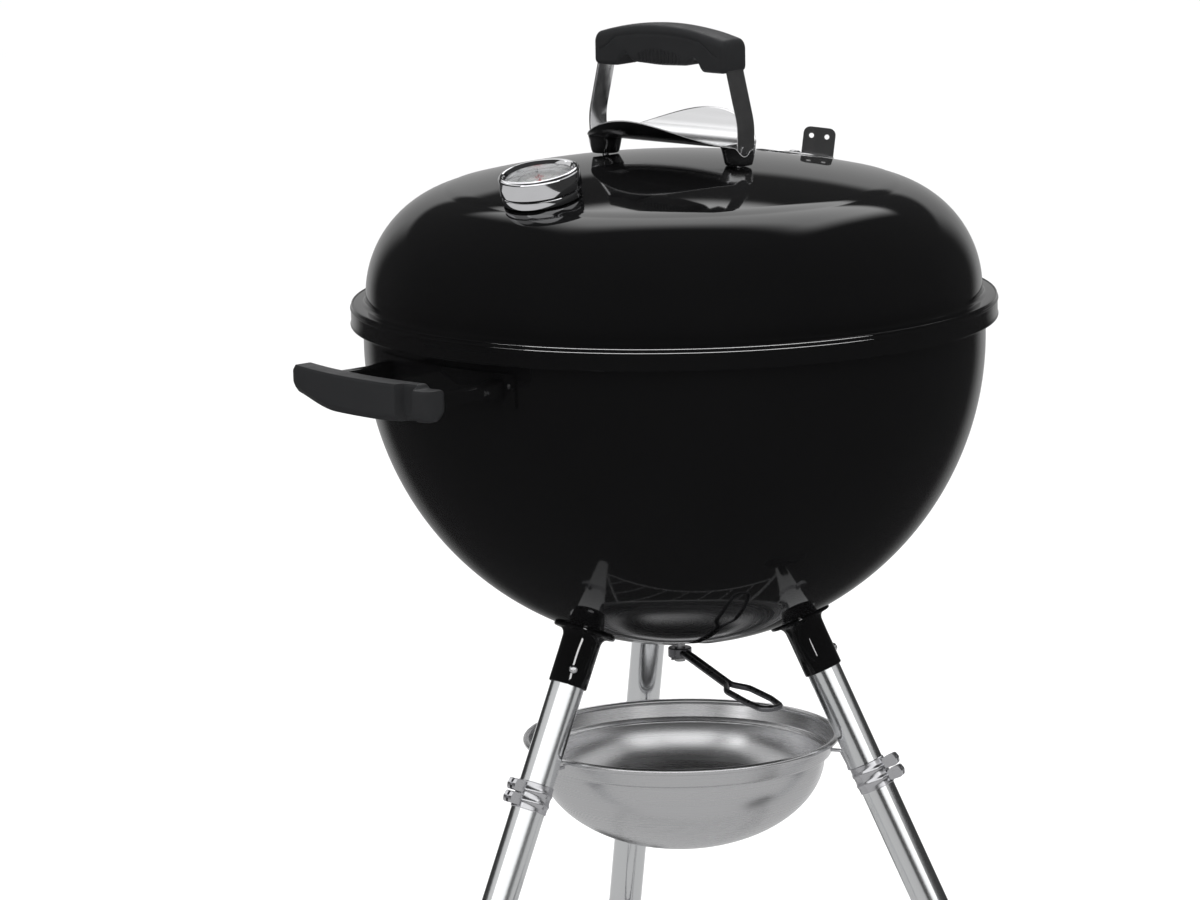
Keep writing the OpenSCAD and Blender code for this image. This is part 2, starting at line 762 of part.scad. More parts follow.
// Moulded grip, arched on top with two finger notches underneath and pockets for the straps
module lid_grip() {
    color("#1e1f20") difference() {
        grip_body();
        straps(0.1);
    }
}

module grip_body() {
    in_lid() difference() {
        rotate([90, 0, 90]) translate([0, 0, -grip_w / 2]) linear_extrude(height = grip_w) polygon(concat(
            [[-grip_half, grip_low_z + 4], [-grip_half + 4, grip_low_z], [-49, grip_low_z + 1]],
            [[-46, grip_notch_z], [-40, grip_notch_z], [-35, grip_belly_z + 1], [0, grip_belly_z]],
            [[35, grip_belly_z + 1], [40, grip_notch_z], [46, grip_notch_z], [49, grip_low_z + 1]],
            [[grip_half - 4, grip_low_z], [grip_half, grip_low_z + 4]],
            [for (i = [0 : 10]) let (y = grip_half - grip_half * i / 5)
                [y, grip_end_z + (grip_top_z - grip_end_z) * (1 - pow(y / grip_half, 2))]]
        ));
        for (y = [-strap_top_y, strap_top_y])
            translate([0, y, grip_low_z + 12]) rotate([y > 0 ? 90 : -90, 0, 0])
                translate([0, 0, -9]) cylinder(r = 2.2, h = 15, $fn = 48);
    }
}

// ---- damper ----

module damper_holes() {
    for (a = [0, 120, 240]) rotate([0, 0, a]) translate([21, 0, -8]) cylinder(r = 9.5, h = 16, $fn = 64);
}

// Disc that follows the crown, with a raised tab to turn it by
module damper() {
    color("#b8babc") difference() {
        union() {
            intersection() {
                translate([0, 0, crown_z]) difference() {
                    sphere(r = lid_crown_r + 1.5, $fn = 360);
                    sphere(r = lid_crown_r + 0.4, $fn = 360);
                }
                on_crown(lid_fitting_r) translate([0, 0, -10]) cylinder(r = 37, h = 20, $fn = 96);
            }
            on_crown(lid_fitting_r) rotate([0, 0, -50]) {
                translate([6, -0.6, 0.7]) cube([28, 1.2, 20]);
                translate([20, 0.6, 20.7]) rotate([90, 0, 0]) intersection() {
                    cylinder(r = 14, h = 1.2, $fn = 64);
                    translate([-14, -6, -1]) cube([28, 13, 4]);
                }
            }
        }
        on_crown(lid_fitting_r) damper_holes();
        on_crown(lid_fitting_r) translate([0, 0, -5]) cylinder(r = 3, h = 10, $fn = 48);
    }
}

module damper_rivet() {
    color("silver") on_crown(lid_fitting_r) {
        translate([0, 0, -4]) cylinder(r = 2.95, h = 5.8, $fn = 48);
        translate([0, 0, 1.65]) cylinder(r1 = 5.5, r2 = 3.5, h = 2, $fn = 48);
        translate([0, 0, -4]) cylinder(r = 5, h = 2.4, $fn = 48);
    }
}

// ---- thermometer ----

module thermometer_base() {
    color("#d0d2d4") on_crown(-lid_fitting_r) difference() {
        cylinder(r = 36, h = 8, $fn = 96);
        translate([0, 0, 2]) cylinder(r = 33, h = 10, $fn = 96);
        translate([0, 0, -1]) cylinder(r = 3.2, h = 8, $fn = 48);
    }
}

module thermometer_bezel() {
    color("#e0e2e4") on_crown(-lid_fitting_r) rotate_extrude($fn = 96) polygon([
        [33.5, 8], [37, 8], [37, 24], [35.5, 26.5], [33, 26.5], [30, 23.5], [30, 22.5], [34, 22.5], [34, 12], [33.5, 12]
    ]);
}

module thermometer_lens() {
    color("#ffffff", 0.35) on_crown(-lid_fitting_r) translate([0, 0, 20.6]) cylinder(r = 33.9, h = 1.8, $fn = 96);
}

module thermometer_dial() {
    color("white") on_crown(-lid_fitting_r) translate([0, 0, 12.2]) difference() {
        cylinder(r = 33.9, h = 0.8, $fn = 96);
        translate([0, 0, -1]) cylinder(r = 1.6, h = 3, $fn = 32);
    }
}

module thermometer_needle() {
    color("#c01818") on_crown(-lid_fitting_r) difference() {
        union() {
            translate([0, 0, 14.2]) cylinder(r = 4, h = 1.4, $fn = 48);
            rotate([0, 0, 225]) translate([-9, -0.9, 14.4]) cube([35, 1.8, 0.8]);
        }
        translate([0, 0, 13]) cylinder(r = 1.05, h = 4, $fn = 32);
    }
}

// Stem: sensing tube through the lid, with the needle's spindle at its top
module thermometer_probe() {
    color("#c8cacc") on_crown(-lid_fitting_r) {
        translate([0, 0, -46]) cylinder(r = 3.2, h = 52, $fn = 48);
        translate([0, 0, 2]) cylinder(r = 8, h = 6, $fn = 48);
        translate([0, 0, 7]) cylinder(r = 1, h = 9, $fn = 32);
    }
}

module thermometer_nut() {
    color("silver") on_crown(-lid_fitting_r) translate([0, 0, -sheet - 6]) nut(14, 3.2, 4.5);
}

// ---- build ----

bowl();
grate_brackets();
coal_brackets();
side_handle_bracket();
side_handle();
side_handle_screws();
socket(foot_az);  // socket_foot_leg
socket(left_az);  // socket_left
socket(right_az);  // socket_right
leg(foot_az, foot_s);  // leg_foot_side
leg(left_az, axle_s + leg_tail);  // leg_wheel_left
leg(right_az, axle_s + leg_tail);  // leg_wheel_right
foot_cap();
axle();
push_nuts();
wheel(1);  // wheel_left
wheel(-1);  // wheel_right
hub_cap(1);  // hub_cap_left
hub_cap(-1);  // hub_cap_right
bottom_rack();
pan_clip(foot_az);  // pan_clip_foot_leg
pan_clip(left_az);  // pan_clip_left
pan_clip(right_az);  // pan_clip_right
ash_pan();
snap_button(foot_az);  // button_foot_leg
snap_button(left_az);  // button_left
snap_button(right_az);  // button_right
button_spring(foot_az);  // spring_foot_leg
button_spring(left_az);  // spring_left
button_spring(right_az);  // spring_right
sweeper_blades();
sweeper_hub();
ash_lever();
cotter_pin();
coal_grate();
cooking_grate();
grate_handles();
lid_shell();
lid_hook();
heat_shield();
handle_bolts();
handle_nuts();
handle_straps();
grip_screws();
lid_grip();
damper();
damper_rivet();
thermometer_base();
thermometer_bezel();
thermometer_lens();
thermometer_dial();
thermometer_needle();
thermometer_probe();
thermometer_nut();
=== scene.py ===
import json
import math

import bmesh
import bpy
from mathutils import Matrix, Vector

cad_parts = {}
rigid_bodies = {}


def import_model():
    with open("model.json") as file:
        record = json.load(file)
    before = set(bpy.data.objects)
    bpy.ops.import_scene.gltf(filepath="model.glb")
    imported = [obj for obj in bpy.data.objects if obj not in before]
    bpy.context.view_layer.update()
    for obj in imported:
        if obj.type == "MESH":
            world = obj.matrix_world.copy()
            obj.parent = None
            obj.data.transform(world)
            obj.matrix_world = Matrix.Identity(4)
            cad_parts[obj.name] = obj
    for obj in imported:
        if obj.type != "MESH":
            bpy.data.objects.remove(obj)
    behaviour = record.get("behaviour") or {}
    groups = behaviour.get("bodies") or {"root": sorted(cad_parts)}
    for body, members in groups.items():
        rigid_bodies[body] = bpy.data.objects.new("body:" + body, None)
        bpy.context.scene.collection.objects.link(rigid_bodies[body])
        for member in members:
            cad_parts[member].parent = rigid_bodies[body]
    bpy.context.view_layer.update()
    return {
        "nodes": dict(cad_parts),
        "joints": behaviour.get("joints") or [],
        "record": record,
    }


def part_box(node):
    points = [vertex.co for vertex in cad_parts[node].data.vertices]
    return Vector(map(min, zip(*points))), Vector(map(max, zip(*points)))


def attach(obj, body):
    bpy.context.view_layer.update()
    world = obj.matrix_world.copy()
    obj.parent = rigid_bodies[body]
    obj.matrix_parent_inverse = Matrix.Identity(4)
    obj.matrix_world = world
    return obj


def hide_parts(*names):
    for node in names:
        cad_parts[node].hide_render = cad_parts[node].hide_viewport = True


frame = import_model()

MM = 0.001
RECORD = frame["record"]
JOINTS = {j["name"]: j for j in frame["joints"]}
scene = bpy.context.scene


# ---- small helpers ----

def span(node):
    """Lowest and highest corner of a CAD node, in millimetres."""
    low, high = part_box(node)
    return low / MM, high / MM


def sin(deg):
    return math.sin(math.radians(deg))


def cos(deg):
    return math.cos(math.radians(deg))


def smooth(t):
    t = min(1.0, max(0.0, t))
    return t * t * (3 - 2 * t)


def spin(axis, deg):
    return Matrix.Rotation(math.radians(deg), 4, axis)


def shift(x, y, z):
    return Matrix.Translation(Vector((x, y, z)) * MM)


def axes_frame(origin, z_axis, x_hint):
    """Frame at origin (mm) with its Z along z_axis and its X close to x_hint."""
    z = Vector(z_axis).normalized()
    y = z.cross(Vector(x_hint)).normalized()
    x = y.cross(z)
    m = Matrix((x, y, z)).transposed().to_4x4()
    m.translation = Vector(origin) * MM
    return m


def arc(cx, cy, r, start, end, steps):
    return [(cx + r * cos(start + (end - start) * i / steps), cy + r * sin(start + (end - start) * i / steps))
            for i in range(steps + 1)]


def rounded(points, closed=False, steps=6):
    """Path through (point, radius) entries with each corner rounded to its radius."""
    out = []
    count = len(points)
    for i, (p, r) in enumerate(points):
        p = Vector(p)
        if r <= 0 or (not closed and i in (0, count - 1)):
            out.append(p)
            continue
        back = Vector(points[i - 1][0]) - p
        ahead = Vector(points[(i + 1) % count][0]) - p
        ua, ub = back.normalized(), ahead.normalized()
        angle = ua.angle(ub)
        if angle > math.pi - 0.01:
            out.append(p)
            continue
        reach = min(r / math.tan(angle / 2), back.length * 0.49, ahead.length * 0.49)
        radius = reach * math.tan(angle / 2)
        centre = p + (ua + ub).normalized() * (radius / math.sin(angle / 2))
        va, vb = p + ua * reach - centre, p + ub * reach - centre
        total = va.angle(vb)
        for k in range(steps + 1):
            t = k / steps
            out.append(centre + va * (math.sin((1 - t) * total) / math.sin(total))
                       + vb * (math.sin(t * total) / math.sin(total)))
    return out


def skin(bm, rings, loop=False, caps=True):
    """Joins rings of vertices with quads; a ring of one vertex is a pole."""
    pairs = list(zip(rings, rings[1:]))
    if loop:
        pairs.append((rings[-1], rings[0]))
    for a, b in pairs:
        n = max(len(a), len(b))
        for i in range(n):
            j = (i + 1) % n
            if len(a) == 1 and len(b) > 1:
                bm.faces.new((a[0], b[j], b[i]))
            elif len(b) == 1 and len(a) > 1:
                bm.faces.new((a[i], a[j], b[0]))
            elif len(a) > 1:
                bm.faces.new((a[i], a[j], b[j], b[i]))
    if caps and not loop:
        for ring in (rings[0], rings[-1]):
            if len(ring) > 2:
                bm.faces.new(ring)


def lathe(bm, profile, segments=128, loop=False, move=None, caps=False):
    """Turns a profile of (r, z) points about Z; move may shift the finished points."""
    rings = []
    for p in profile:
        r, z = p[0], p[1]
        if r < 1e-6:
            spots = [Vector((0, 0, z))]
        else:
            spots = [Vector((r * cos(360 * i / segments), r * sin(360 * i / segments), z)) for i in range(segments)]
        rings.append([bm.verts.new(move(s) if move else s) for s in spots])
    skin(bm, rings, loop, caps)
    return rings


def circle(r, sides):
    return [(r * cos(360 * i / sides), r * sin(360 * i / sides)) for i in range(sides)]


def turned(x, y, deg):
    return x * cos(deg) - y * sin(deg), x * sin(deg) + y * cos(deg)


def sweep(bm, path, section, closed=False, side=None, scales=None):
    """Carries a closed section of (u, v) points along a path; side fixes the u direction."""
    count = len(path)
    u = None
    rings = []
    for i, p in enumerate(path):
        if closed:
            t = path[(i + 1) % count] - path[i - 1]
        else:
            t = path[min(i + 1, count - 1)] - path[max(i - 1, 0)]
        t.normalize()
        if side is not None:
            u = side.copy()
        elif u is None:
            u = t.cross(Vector((0, 0, 1)) if abs(t.z) < 0.9 else Vector((1, 0, 0)))
        u = (u - t * u.dot(t)).normalized()
        v = t.cross(u)
        k = scales[i] if scales else 1
        rings.append([bm.verts.new(p + u * (a * k) + v * (b * k)) for a, b in section])
    skin(bm, rings, loop=closed)


def wire(bm, points, r, closed=False, sides=20, steps=8):
    """Round wire through (point, bend radius) entries, with chamfered ends."""
    path = rounded(points, closed, steps)
    scales = None
    if not closed:
        first = (path[1] - path[0]).normalized() * r * 0.3
        last = (path[-2] - path[-1]).normalized() * r * 0.3
        path = [path[0], path[0] + first] + path[1:-1] + [path[-1] + last, path[-1]]
        scales = [0.72] + [1] * (len(path) - 2) + [0.72]
    sweep(bm, path, circle(r, sides), closed, scales=scales)


def plate(bm, outline, z0, z1):
    """Flat plate from an outline of (x, y) points."""
    rings = [[bm.verts.new((p[0], p[1], z)) for p in outline] for z in (z0, z1)]
    skin(bm, rings)


def build(name, bm, place=None, sharp=38, bevel=0.0, segments=3):
    """Makes a smooth-shaded object in metres from a mesh in millimetres."""
    bmesh.ops.recalc_face_normals(bm, faces=bm.faces)
    mesh = bpy.data.meshes.new(name)
    bm.to_mesh(mesh)
    bm.free()
    mesh.transform(Matrix.Scale(MM, 4))
    mesh.polygons.foreach_set("use_smooth", [True] * len(mesh.polygons))
    mesh.set_sharp_from_angle(angle=math.radians(sharp))
    obj = bpy.data.objects.new(name, mesh)
    scene.collection.objects.link(obj)
    if place is not None:
        obj.matrix_world = place
    if bevel:
        soft = obj.modifiers.new("soft_edges", "BEVEL")
        soft.width = bevel * MM
        soft.segments = segments
        soft.limit_method = "ANGLE"
        soft.angle_limit = math.radians(40)
        soft.harden_normals = True
    return obj


def cut(obj, bm, place=None, sharp=38):
    """Takes the cutter mesh (mm) out of obj and marks the new edges sharp."""
    cutter = build("cutter", bm, place)
    trim = obj.modifiers.new("cut", "BOOLEAN")
    trim.object = cutter
    trim.solver = "EXACT"
    bpy.context.view_layer.update()
    mesh = bpy.data.meshes.new_from_object(obj.evaluated_get(bpy.context.evaluated_depsgraph_get()))
    obj.modifiers.clear()
    obj.data = mesh
    mesh.set_sharp_from_angle(angle=math.radians(sharp))
    bpy.data.objects.remove(cutter)
    return obj


# ---- materials ----

def finish_material(slot, metallic, rough, wear, scale, stretch=(1, 1, 1), bump=0.0, grain=600.0, tint=0.06,
                    spun=False):
    """Procedural finish: the slot's colour from the record with uneven gloss, faint tint and fine relief."""
    entry = next(m for m in RECORD["materials"] if m["slot"] == slot)
    colour = list(entry["base_color"])[:3]
    mat = bpy.data.materials.new(slot)
    mat.use_nodes = True
    nodes, links = mat.node_tree.nodes, mat.node_tree.links
    shader = nodes["Principled BSDF"]
    shader.inputs["Metallic"].default_value = metallic
    place = nodes.new("ShaderNodeTexCoord").outputs["Object"]
    if spun:
        parts = nodes.new("ShaderNodeSeparateXYZ")
        links.new(place, parts.inputs[0])
        flat = nodes.new("ShaderNodeCombineXYZ")
        links.new(parts.outputs["X"], flat.inputs["X"])
        links.new(parts.outputs["Y"], flat.inputs["Y"])
        radius = nodes.new("ShaderNodeVectorMath")
        radius.operation = "LENGTH"
        links.new(flat.outputs[0], radius.inputs[0])
        around = nodes.new("ShaderNodeCombineXYZ")
        links.new(radius.outputs["Value"], around.inputs["X"])
        links.new(parts.outputs["Z"], around.inputs["Z"])
        place = around.outputs[0]
    stretcher = nodes.new("ShaderNodeMapping")
    stretcher.inputs["Scale"].default_value = stretch
    links.new(place, stretcher.inputs["Vector"])
    uneven = nodes.new("ShaderNodeTexNoise")
    uneven.inputs["Scale"].default_value = scale
    uneven.inputs["Detail"].default_value = 5
    links.new(stretcher.outputs[0], uneven.inputs["Vector"])
    gloss = nodes.new("ShaderNodeMapRange")
    gloss.inputs["From Min"].default_value = 0.3
    gloss.inputs["From Max"].default_value = 0.7
    gloss.inputs["To Min"].default_value = max(0.01, rough - wear)
    gloss.inputs["To Max"].default_value = rough + wear
    links.new(uneven.outputs["Fac"], gloss.inputs["Value"])
    links.new(gloss.outputs[0], shader.inputs["Roughness"])
    shade = nodes.new("ShaderNodeMix")
    shade.data_type = "RGBA"
    shade.inputs["A"].default_value = [c * (1 - tint) for c in colour] + [1]
    shade.inputs["B"].default_value = [min(1.0, c * (1 + tint)) for c in colour] + [1]
    links.new(uneven.outputs["Fac"], shade.inputs["Factor"])
    links.new(shade.outputs["Result"], shader.inputs["Base Color"])
    if bump:
        relief = nodes.new("ShaderNodeTexNoise")
        relief.inputs["Scale"].default_value = grain
        relief.inputs["Detail"].default_value = 3
        links.new(stretcher.outputs[0], relief.inputs["Vector"])
        push = nodes.new("ShaderNodeBump")
        push.inputs["Strength"].default_value = bump
        push.inputs["Distance"].default_value = 0.0004
        links.new(relief.outputs["Fac"], push.inputs["Height"])
        links.new(push.outputs["Normal"], shader.inputs["Normal"])
    return mat


MATERIALS = {
    "enamel": finish_material("enamel", 0.0, 0.055, 0.015, 9, bump=0.006, grain=200, tint=0.15),
    "nylon": finish_material("nylon", 0.0, 0.42, 0.06, 60, bump=0.35, grain=1500, tint=0.12),
    "leg_aluminium": finish_material("leg_aluminium", 1.0, 0.16, 0.05, 90, (1, 1, 0.02), bump=0.05, grain=260),
    "pan_aluminium": finish_material("pan_aluminium", 1.0, 0.27, 0.02, 200, (1, 1, 1), bump=0.02, grain=900,
                                     tint=0.02, spun=True),
    "bright_steel": finish_material("bright_steel", 1.0, 0.15, 0.04, 120, (1, 0.08, 1), bump=0.03, grain=500),
    "plated_steel": finish_material("plated_steel", 1.0, 0.26, 0.06, 220, bump=0.06, grain=900),
    "spring_steel": finish_material("spring_steel", 1.0, 0.22, 0.05, 180, (1, 1, 0.1), bump=0.05, grain=700),
    "dark_steel": finish_material("dark_steel", 1.0, 0.30, 0.07, 200, bump=0.12, grain=900, tint=0.2),
    "sweeper_steel": finish_material("sweeper_steel", 1.0, 0.40, 0.08, 70, bump=0.12, grain=500, tint=0.12),
    "chrome": finish_material("chrome", 1.0, 0.05, 0.02, 60, bump=0.008, grain=200),
    "glass": finish_material("glass", 0.0, 0.03, 0.01, 60, bump=0.004, grain=120, tint=0.01),
    "dial_face": finish_material("dial_face", 0.0, 0.48, 0.05, 90, bump=0.03, grain=900, tint=0.03),
    "needle_red": finish_material("needle_red", 0.0, 0.42, 0.05, 200, bump=0.03, grain=900, tint=0.08),
    "wheel_plastic": finish_material("wheel_plastic", 0.0, 0.50, 0.07, 50, bump=0.30, grain=1200, tint=0.15),
    "grate_steel": finish_material("grate_steel", 1.0, 0.28, 0.06, 160, bump=0.08, grain=800),
}
see_through = MATERIALS["glass"].node_tree.nodes["Principled BSDF"]
see_through.inputs["Transmission Weight"].default_value = 1.0
see_through.inputs["IOR"].default_value = 1.45
see_through.inputs["Alpha"].default_value = 0.4


def add(obj, body, slot, *nodes):
    """Gives obj its slot's material and hangs it on a body in place of CAD nodes."""
    obj.data.materials.clear()
    obj.data.materials.append(MATERIALS[slot])
    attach(obj, body)
    if nodes:
        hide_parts(*nodes)
    return obj


# ---- places read from the CAD part ----

bowl_low, bowl_high = span("bowl")
SHEET = 1.2
BEAD = 3.5
BOWL_R = bowl_high.x - 2 * BEAD + SHEET
BOWL_Z = bowl_low.z + BOWL_R
RIM_Z = bowl_high.z - BEAD

TILT = 25
LEG_R = 15.875
foot_low = span("leg_foot_side")[0]
end_r = -foot_low.x - LEG_R * cos(TILT)
end_z = foot_low.z + LEG_R * sin(TILT)
rise = end_z - BOWL_Z
half_b = rise * cos(TILT) - end_r * sin(TILT)
LEG_LEN = -half_b - math.sqrt(half_b * half_b - (end_r * end_r + rise * rise - BOWL_R * BOWL_R))
LEG_TOP_R = end_r - LEG_LEN * sin(TILT)
LEG_TOP_Z = end_z + LEG_LEN * cos(TILT)


def leg_frame(azimuth):
    """Starts on the bowl's skin; +Z runs down the leg and -X faces outwards."""
    return spin("Z", azimuth) @ shift(LEG_TOP_R, 0, LEG_TOP_Z) @ spin("Y", 180 - TILT)


LEGS = {"foot_leg": 180, "left": 60, "right": -60}
lid_low, lid_high = span("lid_shell")
LID_R = lid_high.x
SKIRT_LOW = lid_low.z
STEP_Z = SKIRT_LOW + 21
CROWN_R = 880
CROWN_Z = lid_high.z - CROWN_R
WALL_R = BOWL_R - 2.75
SHOULDER_R = 100
damper_spot = Vector(JOINTS["damper_turn"]["pos_m"]) / MM
gauge_spot = Vector(JOINTS["needle_turn"]["pos_m"]) / MM
TURN = math.degrees(math.atan2(damper_spot.y, damper_spot.x))
DAMPER = axes_frame(damper_spot, JOINTS["damper_turn"]["axis"], (cos(TURN), sin(TURN), 0))
GAUGE = axes_frame(gauge_spot, JOINTS["needle_turn"]["axis"], (cos(TURN), sin(TURN), 0))
LID = spin("Z", TURN)
VENT_AT = 21
VENT_R = 9.5


# ---- bowl ----

def make_bowl():
    ring_r = BOWL_R + BEAD - SHEET
    inner = BOWL_R - SHEET
    meet = math.degrees(math.acos((ring_r - BOWL_R) / BEAD))
    hole = math.degrees(math.asin(5.05 / BOWL_R))
    profile = arc(0, BOWL_Z, BOWL_R, -90 + hole, 0, 72)
    profile += [(BOWL_R, BOWL_Z + (RIM_Z - BOWL_Z) * k / 4) for k in (1, 2, 3)]
    profile += arc(ring_r, RIM_Z, BEAD, 180 + meet, 540, 22)
    profile += [(inner, BOWL_Z + (RIM_Z - BOWL_Z) * k / 4) for k in (3, 2, 1)]
    profile += arc(0, BOWL_Z, inner, 0, -90 + hole, 60)
    bm = bmesh.new()
    lathe(bm, profile, 240, loop=True)
    obj = build("bowl_shell", bm)
    cutter = bmesh.new()
    for a in (0, 120, 240):
        outline = arc(0, 0, 32, a - 13, a + 13, 8) + arc(0, 0, 86, a + 13.5, a - 13.5, 14)
        plate(cutter, outline, BOWL_Z - BOWL_R - 5, BOWL_Z - BOWL_R + 30)
    cut(obj, cutter)
    add(obj, "stand", "enamel", "bowl")


make_bowl()


# ---- lid ----

def lid_profile(t):
    """Outside of the lid from the top centre to the skirt; t moves it inwards."""
    shoulder_z = STEP_Z + 6
    ring = WALL_R - SHOULDER_R
    crown_end = math.degrees(math.acos(ring / (CROWN_R - SHOULDER_R)))
    points = arc(0, CROWN_Z, CROWN_R - t, 90, crown_end, 22)
    points += arc(ring, shoulder_z, SHOULDER_R - t, crown_end - crown_end / 40, 0, 39)
    points += arc(WALL_R + 4, STEP_Z + 4, 4 + t, 180, 270, 8)
    points += arc(LID_R - 4.7, STEP_Z - 4.3, 4 - t, 90, 0, 8)
    return points


def make_lid():
    outer = lid_profile(0)
    inner = lid_profile(SHEET)
    bead_z = SKIRT_LOW + 1.9
    wall = LID_R - 0.7
    profile = outer + [(wall, STEP_Z - 10), (wall, bead_z + 2.2)]
    profile += arc(LID_R - 1.9, bead_z, 1.9, 40, -290, 26)
    profile += [(wall - SHEET, STEP_Z - 10)] + inner[::-1]
    profile[0] = (0, outer[0][1])
    profile[-1] = (0, inner[0][1])
    bm = bmesh.new()
    lathe(bm, profile, 240)
    obj = build("lid_dome", bm)
    cutter = bmesh.new()
    for a in (0, 120, 240):
        plate(cutter, [(x + VENT_AT * cos(a), y + VENT_AT * sin(a)) for x, y in circle(VENT_R, 40)], -8, 8)
    cut(obj, cutter, DAMPER)
    add(obj, "lid", "enamel", "lid_shell")
    edge = bmesh.new()
    lathe(edge, arc(LID_R - 2.2, STEP_Z - 1.1, 1.1, 100, -60, 12) + arc(LID_R - 1.1, STEP_Z - 4.4, 1.1, 60, -80, 12)
          + [(LID_R - 2.6, STEP_Z - 5.0), (LID_R - 3.4, STEP_Z - 2.8)], 240, loop=True)
    add(build("lid_edge_beads", edge), "lid", "enamel", "lid_shell")


make_lid()


# ---- lid handle, shield and cups ----

CUP_Z = span("heat_shield")[0].z
SHIELD_Z = CUP_Z + 16
FOOT_Y = 80
GRIP_TOP = span("lid_grip")[1].z
GRIP_HALF = 78


def make_shield():
    """One pressed sheet: a saddle with a pointed end at each strap and a cup pressed down for its foot."""
    half = 96
    trough = (62 * 62 + 25 * 25) / 50
    bm = bmesh.new()
    rows, cols = 260, 72
    grid = []
    for i in range(rows + 1):
        y = -half + 2 * half * i / rows
        wide = max(0.6, math.sqrt(max(0.0, 105 * 105 - y * y)) - 43)
        wide = max(wide, 9 * math.sqrt(max(0.0, 1 - (abs(y) / half) ** 8)))
        line = []
        for j in range(cols + 1):
            x = wide * (2 * j / cols - 1)
            z = SHIELD_Z + trough - math.sqrt(trough * trough - x * x)
            away = math.hypot(x, abs(y) - FOOT_Y)
            floor_z = CUP_Z + 0.5
            z = floor_z + (z - floor_z) * smooth((away - 11.5) / 5.0)
            line.append(bm.verts.new((x, y, z)))
        grid.append(line)
    for a, b in zip(grid, grid[1:]):
        for j in range(cols):
            bm.faces.new((a[j], a[j + 1], b[j + 1], b[j]))
    obj = build("lid_heat_shield", bm, LID, sharp=60)
    thick = obj.modifiers.new("sheet", "SOLIDIFY")
    thick.thickness = 1.0 * MM
    thick.offset = 0
    add(obj, "lid", "bright_steel", "heat_shield")


make_shield()


def make_straps():
    """Two flat straps that bow out from the cups up to the grip, narrowed where the cups close round them."""
    foot_z = CUP_Z + 2.25
    side_path = [((0, FOOT_Y - 9, foot_z), 0), ((0, FOOT_Y + 7.4, foot_z), 3), ((0, 89.0, foot_z + 34), 60),
                 ((0, 72, GRIP_TOP - 21), 0)]
    flat = rounded([((-11.5, -1.25), 1.0), ((11.5, -1.25), 1.0), ((11.5, 1.25), 1.0), ((-11.5, 1.25), 1.0)], True, 3)
    for side, name in ((1, "near"), (-1, "far")):
        path = rounded(side_path, steps=14)
        fine = []
        for a, b in zip(path, path[1:]):
            fine += [a.lerp(b, k / 3) for k in range(3)]
        fine.append(path[-1])
        bm = bmesh.new()
        spots = [Vector((p.x, p.y * side, p.z)) for p in fine]
        count = len(spots)
        rings = []
        for i, p in enumerate(spots):
            t = (spots[min(i + 1, count - 1)] - spots[max(i - 1, 0)]).normalized()
            v = t.cross(Vector((1, 0, 0)))
            room = 1.0
            if p.z < foot_z + 12:
                away = abs(p.y) - FOOT_Y
                room = min(1.0, math.sqrt(max(0.04, 11.4 ** 2 - away ** 2)) / 11.5)
                room += (1 - room) * smooth((p.z - foot_z - 1) / 11)
            rings.append([bm.verts.new(p + Vector((1, 0, 0)) * (q.x * room) + v * q.y) for q in flat])
        skin(bm, rings)
        add(build("lid_strap_" + name, bm, LID), "lid", "bright_steel", "handle_straps")


make_straps()


def hex_bolt(bm, across, height, washer_r, shank_r, shank):
    lathe(bm, [(0, 0), (washer_r - 0.3, 0), (washer_r, 0.25), (washer_r, 0.75), (washer_r - 0.3, 1.0), (0, 1.0)], 48)
    corner = across / 2 / cos(30)
    rings = []
    for r, z in ((corner, 1.0), (corner, height - 0.7), (corner * 0.88, height)):
        rings.append([bm.verts.new((r * cos(60 * i), r * sin(60 * i), z)) for i in range(6)])
    skin(bm, rings)
    lathe(bm, [(0, -shank), (shank_r - 0.5, -shank), (shank_r, -shank + 0.6), (shank_r, 0.1), (0, 0.1)], 32)


BOLT_TOP = span("handle_bolts")[1].z
for number, y in enumerate((FOOT_Y, -FOOT_Y)):
    bolt = bmesh.new()
    hex_bolt(bolt, 8.4, 3.0, 5.05, 3, 17.5)
    add(build("lid_bolt_%d" % (number + 1), bolt, LID @ shift(0, y, BOLT_TOP - 3.0), sharp=30), "lid",
        "plated_steel", "handle_bolts")


